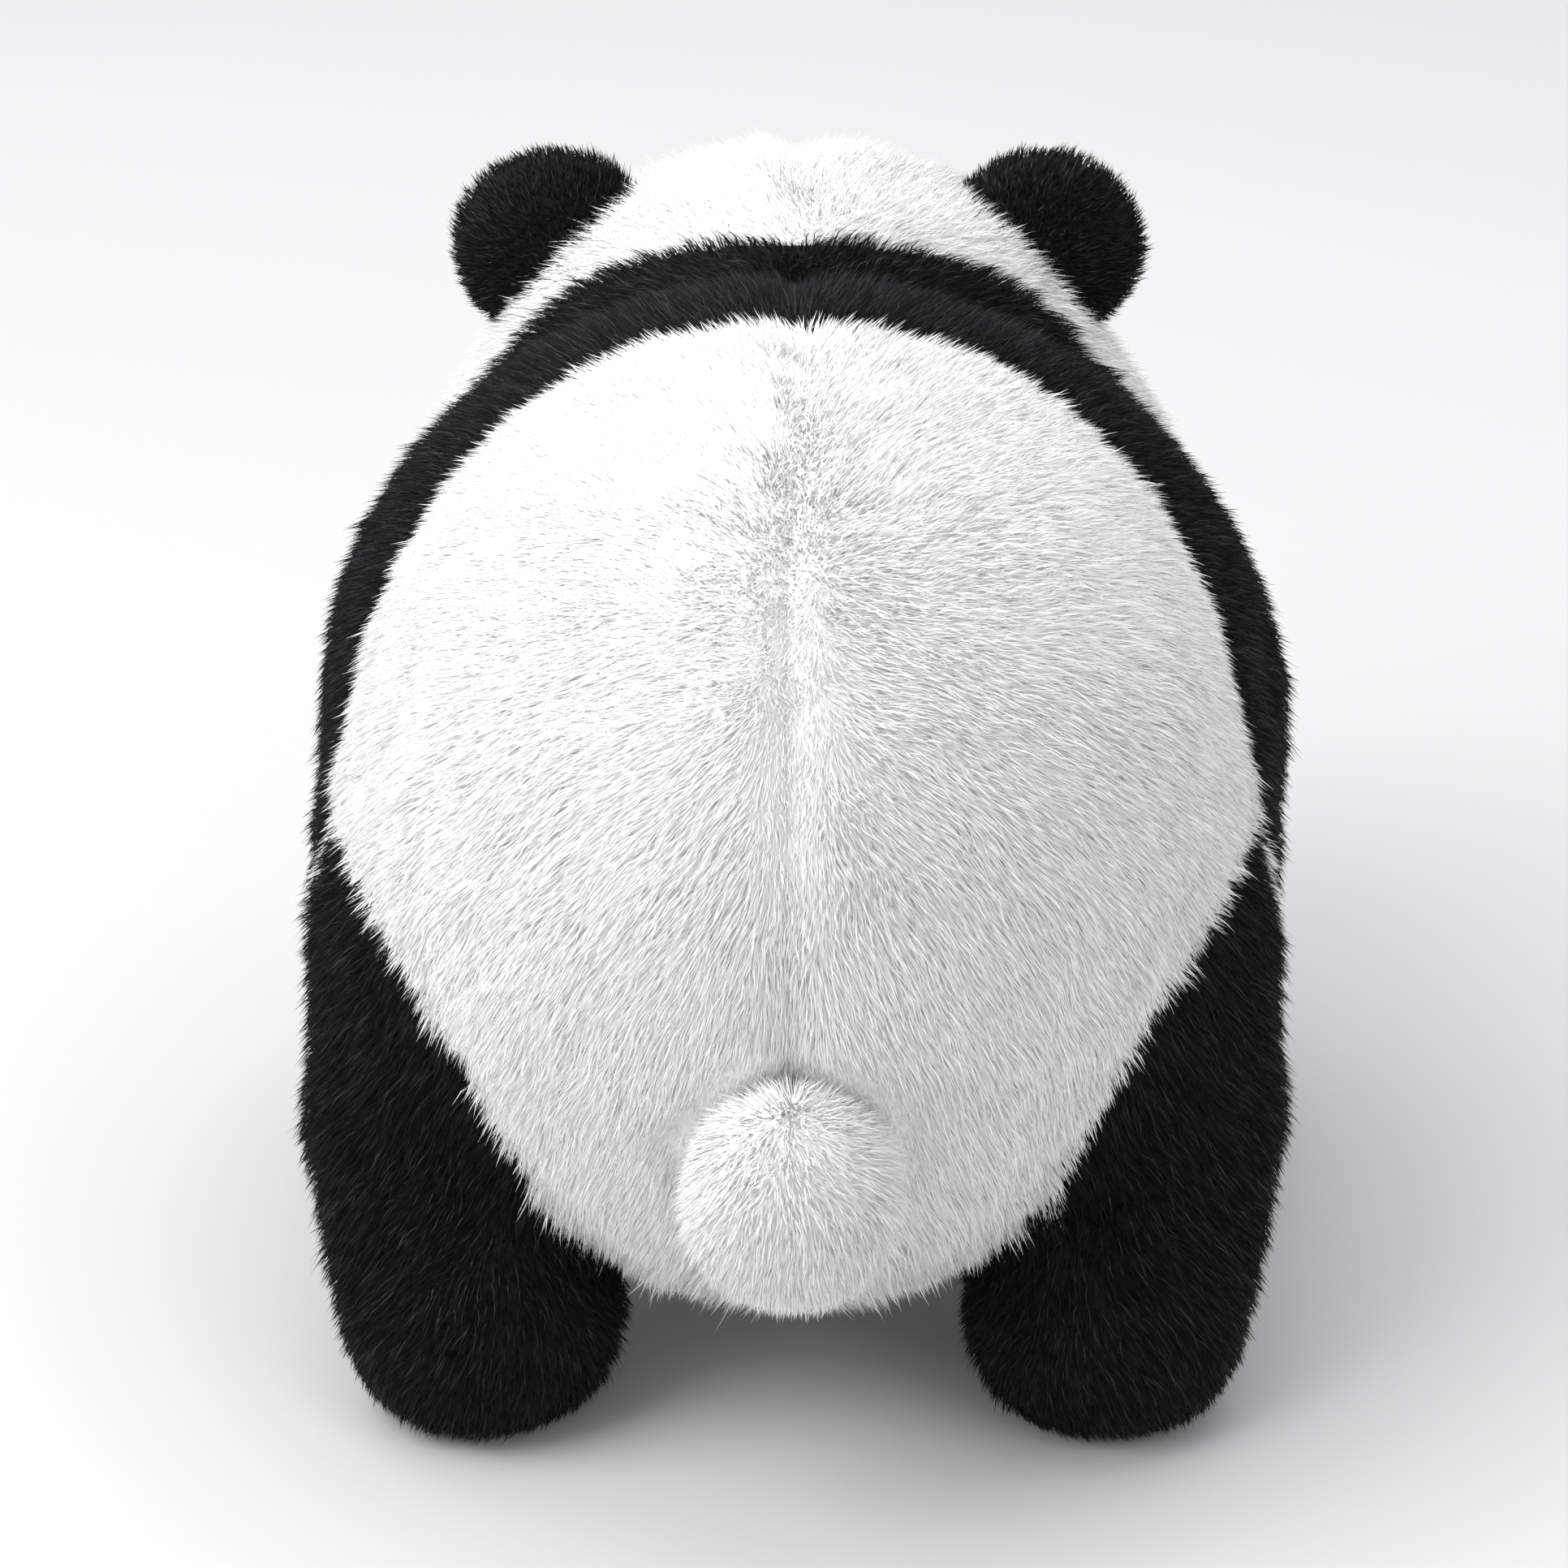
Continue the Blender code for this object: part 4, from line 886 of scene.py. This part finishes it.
# ---------------------------------------------------------------- eyes, nose and mouth
def front_point(x, z, offset=0.0):
    ys = np.linspace(-0.27, -0.09, 721)
    pts = np.stack([np.full_like(ys, x), ys, np.full_like(ys, z)], axis=-1)
    value = head_field(mirrored(pts)) - offset
    i = int(np.argmax(value < 0))
    t = value[i - 1] / (value[i - 1] - value[i])
    return Vector((x, float(ys[i - 1] + (ys[i] - ys[i - 1]) * t), z))


def facing(p):
    n = gradient(lambda a: head_field(mirrored(a)), np.array([p[:]]))[0]
    n = Vector(unit(n))
    return Matrix.Translation(p) @ n.to_track_quat('Z', 'Y').to_matrix().to_4x4()


def turned_piece(name, profile, steps, place, mat, body, nodes, squeeze=(1.0, 1.0)):
    """A turned form: (radius, height) pairs spun round Z, set at place."""
    bm = bmesh.new()
    rings = []
    for radius, height in profile:
        if radius < 1e-7:
            rings.append([bm.verts.new((0, 0, height))])
        else:
            rings.append([bm.verts.new((radius * squeeze[0] * math.cos(2 * math.pi * i / steps),
                                        radius * squeeze[1] * math.sin(2 * math.pi * i / steps), height))
                          for i in range(steps)])
    for a, b in zip(rings, rings[1:]):
        for i in range(steps):
            j = (i + 1) % steps
            if len(a) == 1:
                bm.faces.new((a[0], b[i], b[j]))
            elif len(b) == 1:
                bm.faces.new((a[i], b[0], a[j]))
            else:
                bm.faces.new((a[i], b[i], b[j], a[j]))
    bmesh.ops.recalc_face_normals(bm, faces=bm.faces[:])
    mesh = bpy.data.meshes.new(name)
    bm.to_mesh(mesh)
    bm.free()
    mesh.materials.append(mat)
    mesh.shade_smooth()
    mesh.transform(place)
    obj = link(bpy.data.objects.new(name, mesh))
    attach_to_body(obj, body)
    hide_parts(*nodes)
    return obj


arc = np.linspace(0, math.pi / 2, 15)
for s, word in ((1, 'left'), (-1, 'right')):
    place = facing(front_point(EYE_X * s, EYE_Z, -0.0026))
    profile = [(0.0, -0.0070), (0.0022, -0.0070), (0.0022, -0.0010), (EYE_R * 0.93, -0.0010), (EYE_R, -0.0002), (EYE_R, 0.0008)]
    profile += [(EYE_R * math.cos(a), 0.0008 + 0.0052 * math.sin(a)) for a in arc[1:-1]] + [(0.0, 0.0060)]
    turned_piece('shiny_eye_' + word, profile, 40, place, gloss_black, 'head', ['eye_' + word])
    # the washer grips the eye's post behind the cloth
    behind = place @ Matrix.Translation((0, 0, -0.0100))
    rim = [(0.0026, 0.0), (0.0075, -0.0002), (0.0085, -0.0008), (0.0085, -0.0016), (0.0075, -0.0022), (0.0026, -0.0024),
           (0.0022, -0.0012), (0.0026, 0.0)]
    turned_piece('post_washer_' + word, rim, 28, behind, natural, 'head', ['eye_washer_' + word])

place = facing(front_point(0.0, NOSE_Z, -0.0044))
turned_piece('post_washer_nose', rim, 28, place @ Matrix.Translation((0, 0, -0.0110)), natural, 'head', ['nose_washer'])
bm = bmesh.new()
rings, steps = [], 48
for radius, height in [(0.90, -0.0016), (1.0, -0.0004), (1.0, 0.0006)] + \
        [(math.cos(a), 0.0006 + 0.0080 * math.sin(a)) for a in arc[1:-1]]:
    ring = []
    for i in range(steps):
        t = 2 * math.pi * i / steps
        c, w = math.cos(t), math.sin(t)
        # wide above and drawn to a soft point below
        x = NOSE_R[0] * radius * c * (1.0 + 0.16 * w)
        y = NOSE_R[1] * radius * (w * (0.92 if w > 0 else 1.06) - 0.06 * (1 - c * c) * 0)
        ring.append(bm.verts.new((x, y, height)))
    rings.append(ring)
top = bm.verts.new((0, 0, 0.0086))
low = bm.verts.new((0, 0, -0.0016))
for a, b in zip(rings, rings[1:]):
    for i in range(steps):
        j = (i + 1) % steps
        bm.faces.new((a[i], a[j], b[j], b[i]))
for i in range(steps):
    j = (i + 1) % steps
    bm.faces.new((rings[-1][i], rings[-1][j], top))
    bm.faces.new((rings[0][j], rings[0][i], low))
bmesh.ops.recalc_face_normals(bm, faces=bm.faces[:])
mesh = bpy.data.meshes.new('shiny_nose')
bm.to_mesh(mesh)
bm.free()
mesh.materials.append(gloss_black)
mesh.shade_smooth()
up_fix = place.to_3x3() @ Vector((0, 1, 0))
if up_fix.z < 0:
    place = place @ Matrix.Rotation(math.pi, 4, 'Z')
mesh.transform(place)
nose = link(bpy.data.objects.new('shiny_nose', mesh))
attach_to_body(nose, 'head')
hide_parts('nose')


def stitches(name, paths, radius, pitch):
    """Short laid stitches end to end along (x, z) paths over the face, each a small rounded capsule."""
    all_v, all_f = [], []
    offset = 0
    for path in paths:
        pts = np.array([front_point(x, z, -0.0024)[:] for x, z in path])
        seg = np.linalg.norm(np.diff(pts, axis=0), axis=1)
        at = np.concatenate([[0], np.cumsum(seg)])
        n = max(1, int(round(at[-1] / pitch)))
        for k in range(n):
            a = np.array([np.interp((k - 0.12) * at[-1] / n, at, pts[:, i]) for i in range(3)])
            b = np.array([np.interp((k + 1.12) * at[-1] / n, at, pts[:, i]) for i in range(3)])
            d = unit(b - a)
            u = unit(np.cross(d, np.array([0.0, 1.0, 0.02])))
            w = np.cross(d, u)
            rows = []
            for t in np.linspace(0, 1, 9):
                r = radius * (math.sin(math.pi * (0.04 + 0.92 * t)) ** 0.4)
                bulge = -w * 0 + np.array([0, -1.0, 0]) * 0.0006 * math.sin(math.pi * t)
                rows.append([a + (b - a) * t + bulge + r * (u * math.cos(q) + w * math.sin(q))
                             for q in np.linspace(0, 2 * math.pi, 11)[:-1]])
            base = offset
            for row in rows:
                all_v += [p.tolist() for p in row]
            offset += 90
            for j in range(8):
                for i in range(10):
                    i2 = (i + 1) % 10
                    all_f.append([base + j * 10 + i, base + j * 10 + i2, base + (j + 1) * 10 + i2, base + (j + 1) * 10 + i])
            all_f.append([base + i for i in range(9, -1, -1)])
            all_f.append([base + 80 + i for i in range(10)])
    mesh = bpy.data.meshes.new(name)
    mesh.from_pydata(all_v, [], all_f)
    mesh.materials.append(thread_black)
    mesh.shade_smooth()
    return link(bpy.data.objects.new(name, mesh))


lip_z = NOSE_Z - 0.0215
smile = [(0.0165 * t, lip_z - 0.0050 * math.sin(math.pi * abs(t)) + 0.0020 * t * t) for t in np.linspace(-1, 1, 25)]
upright = [(0.0, z) for z in np.linspace(NOSE_Z - NOSE_R[1] - 0.0005, lip_z, 8)]
mouth = stitches('stitched_mouth', [smile, upright], 0.0011, 0.0042)
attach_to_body(mouth, 'head')
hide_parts('mouth_stitch')

for name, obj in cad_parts.items():
    if 'washer' in name:
        obj.data.materials.clear()
        obj.data.materials.append(natural)

# ------------------------------------------------------------- camera, floor and light
camera_data = bpy.data.cameras.new('camera')
camera_data.lens = 134.0
camera_data.sensor_width = 36.0
camera_data.shift_x = -0.0075
camera_data.shift_y = 0.0127
camera_data.clip_end = 60.0
camera = link(bpy.data.objects.new('camera', camera_data))
target = Vector((0.0, 0.027, 0.135))
elevation = math.radians(23.9)
swing = math.radians(0.35)
camera.location = target + Vector((-math.cos(elevation) * math.sin(swing), math.cos(elevation) * math.cos(swing), math.sin(elevation))) * 1.620
camera.rotation_euler = (target - camera.location).to_track_quat('-Z', 'Y').to_euler()
bpy.context.scene.camera = camera

floor_mat, _ = principled('studio_floor', (0.576, 0.576, 0.576), 0.9, specular=0.1)
t = floor_mat.node_tree
co = t.nodes.new('ShaderNodeTexCoord')
grain = t.nodes.new('ShaderNodeTexNoise')
grain.inputs['Scale'].default_value = 3.0
tone = t.nodes.new('ShaderNodeValToRGB')
tone.color_ramp.elements[0].color = (0.570, 0.571, 0.573, 1)
tone.color_ramp.elements[1].color = (0.582, 0.582, 0.582, 1)
t.links.new(co.outputs['Object'], grain.inputs['Vector'])
t.links.new(grain.outputs['Fac'], tone.inputs['Fac'])
t.links.new(tone.outputs['Color'], t.nodes['Principled BSDF'].inputs['Base Color'])
bm = bmesh.new()
bmesh.ops.create_grid(bm, x_segments=12, y_segments=12, size=30.0)
floor_mesh = bpy.data.meshes.new('studio_floor')
bm.to_mesh(floor_mesh)
bm.free()
floor_mesh.materials.append(floor_mat)
floor = link(bpy.data.objects.new('studio_floor', floor_mesh))
floor.location.z = -0.0002

scene = bpy.context.scene
scene.view_settings.view_transform = 'Standard'
world = bpy.data.worlds.new('studio')
world.use_nodes = True
world.node_tree.nodes['Background'].inputs['Color'].default_value = (0.96, 0.98, 1.0, 1)
world.node_tree.nodes['Background'].inputs['Strength'].default_value = 0.80
scene.world = world


def area(name, at, aim, size, power, colour=(1, 1, 1)):
    data = bpy.data.lights.new(name, 'AREA')
    data.shape = 'RECTANGLE'
    data.size, data.size_y = size
    data.energy = power
    data.color = colour
    obj = link(bpy.data.objects.new(name, data))
    obj.location = at
    obj.rotation_euler = (Vector(aim) - Vector(at)).to_track_quat('-Z', 'Y').to_euler()
    return obj


area('key', (1.35, 0.75, 1.60), (0.02, 0.03, 0.12), (1.7, 1.7), 40.0, (1.0, 0.995, 0.98))
area('fill', (-1.5, 1.5, 1.1), (0.0, 0.05, 0.14), (1.4, 1.4), 7.0, (0.98, 0.99, 1.0))
area('overhead', (0.1, -0.5, 2.4), (0.0, 0.0, 0.1), (2.4, 2.4), 38.0)
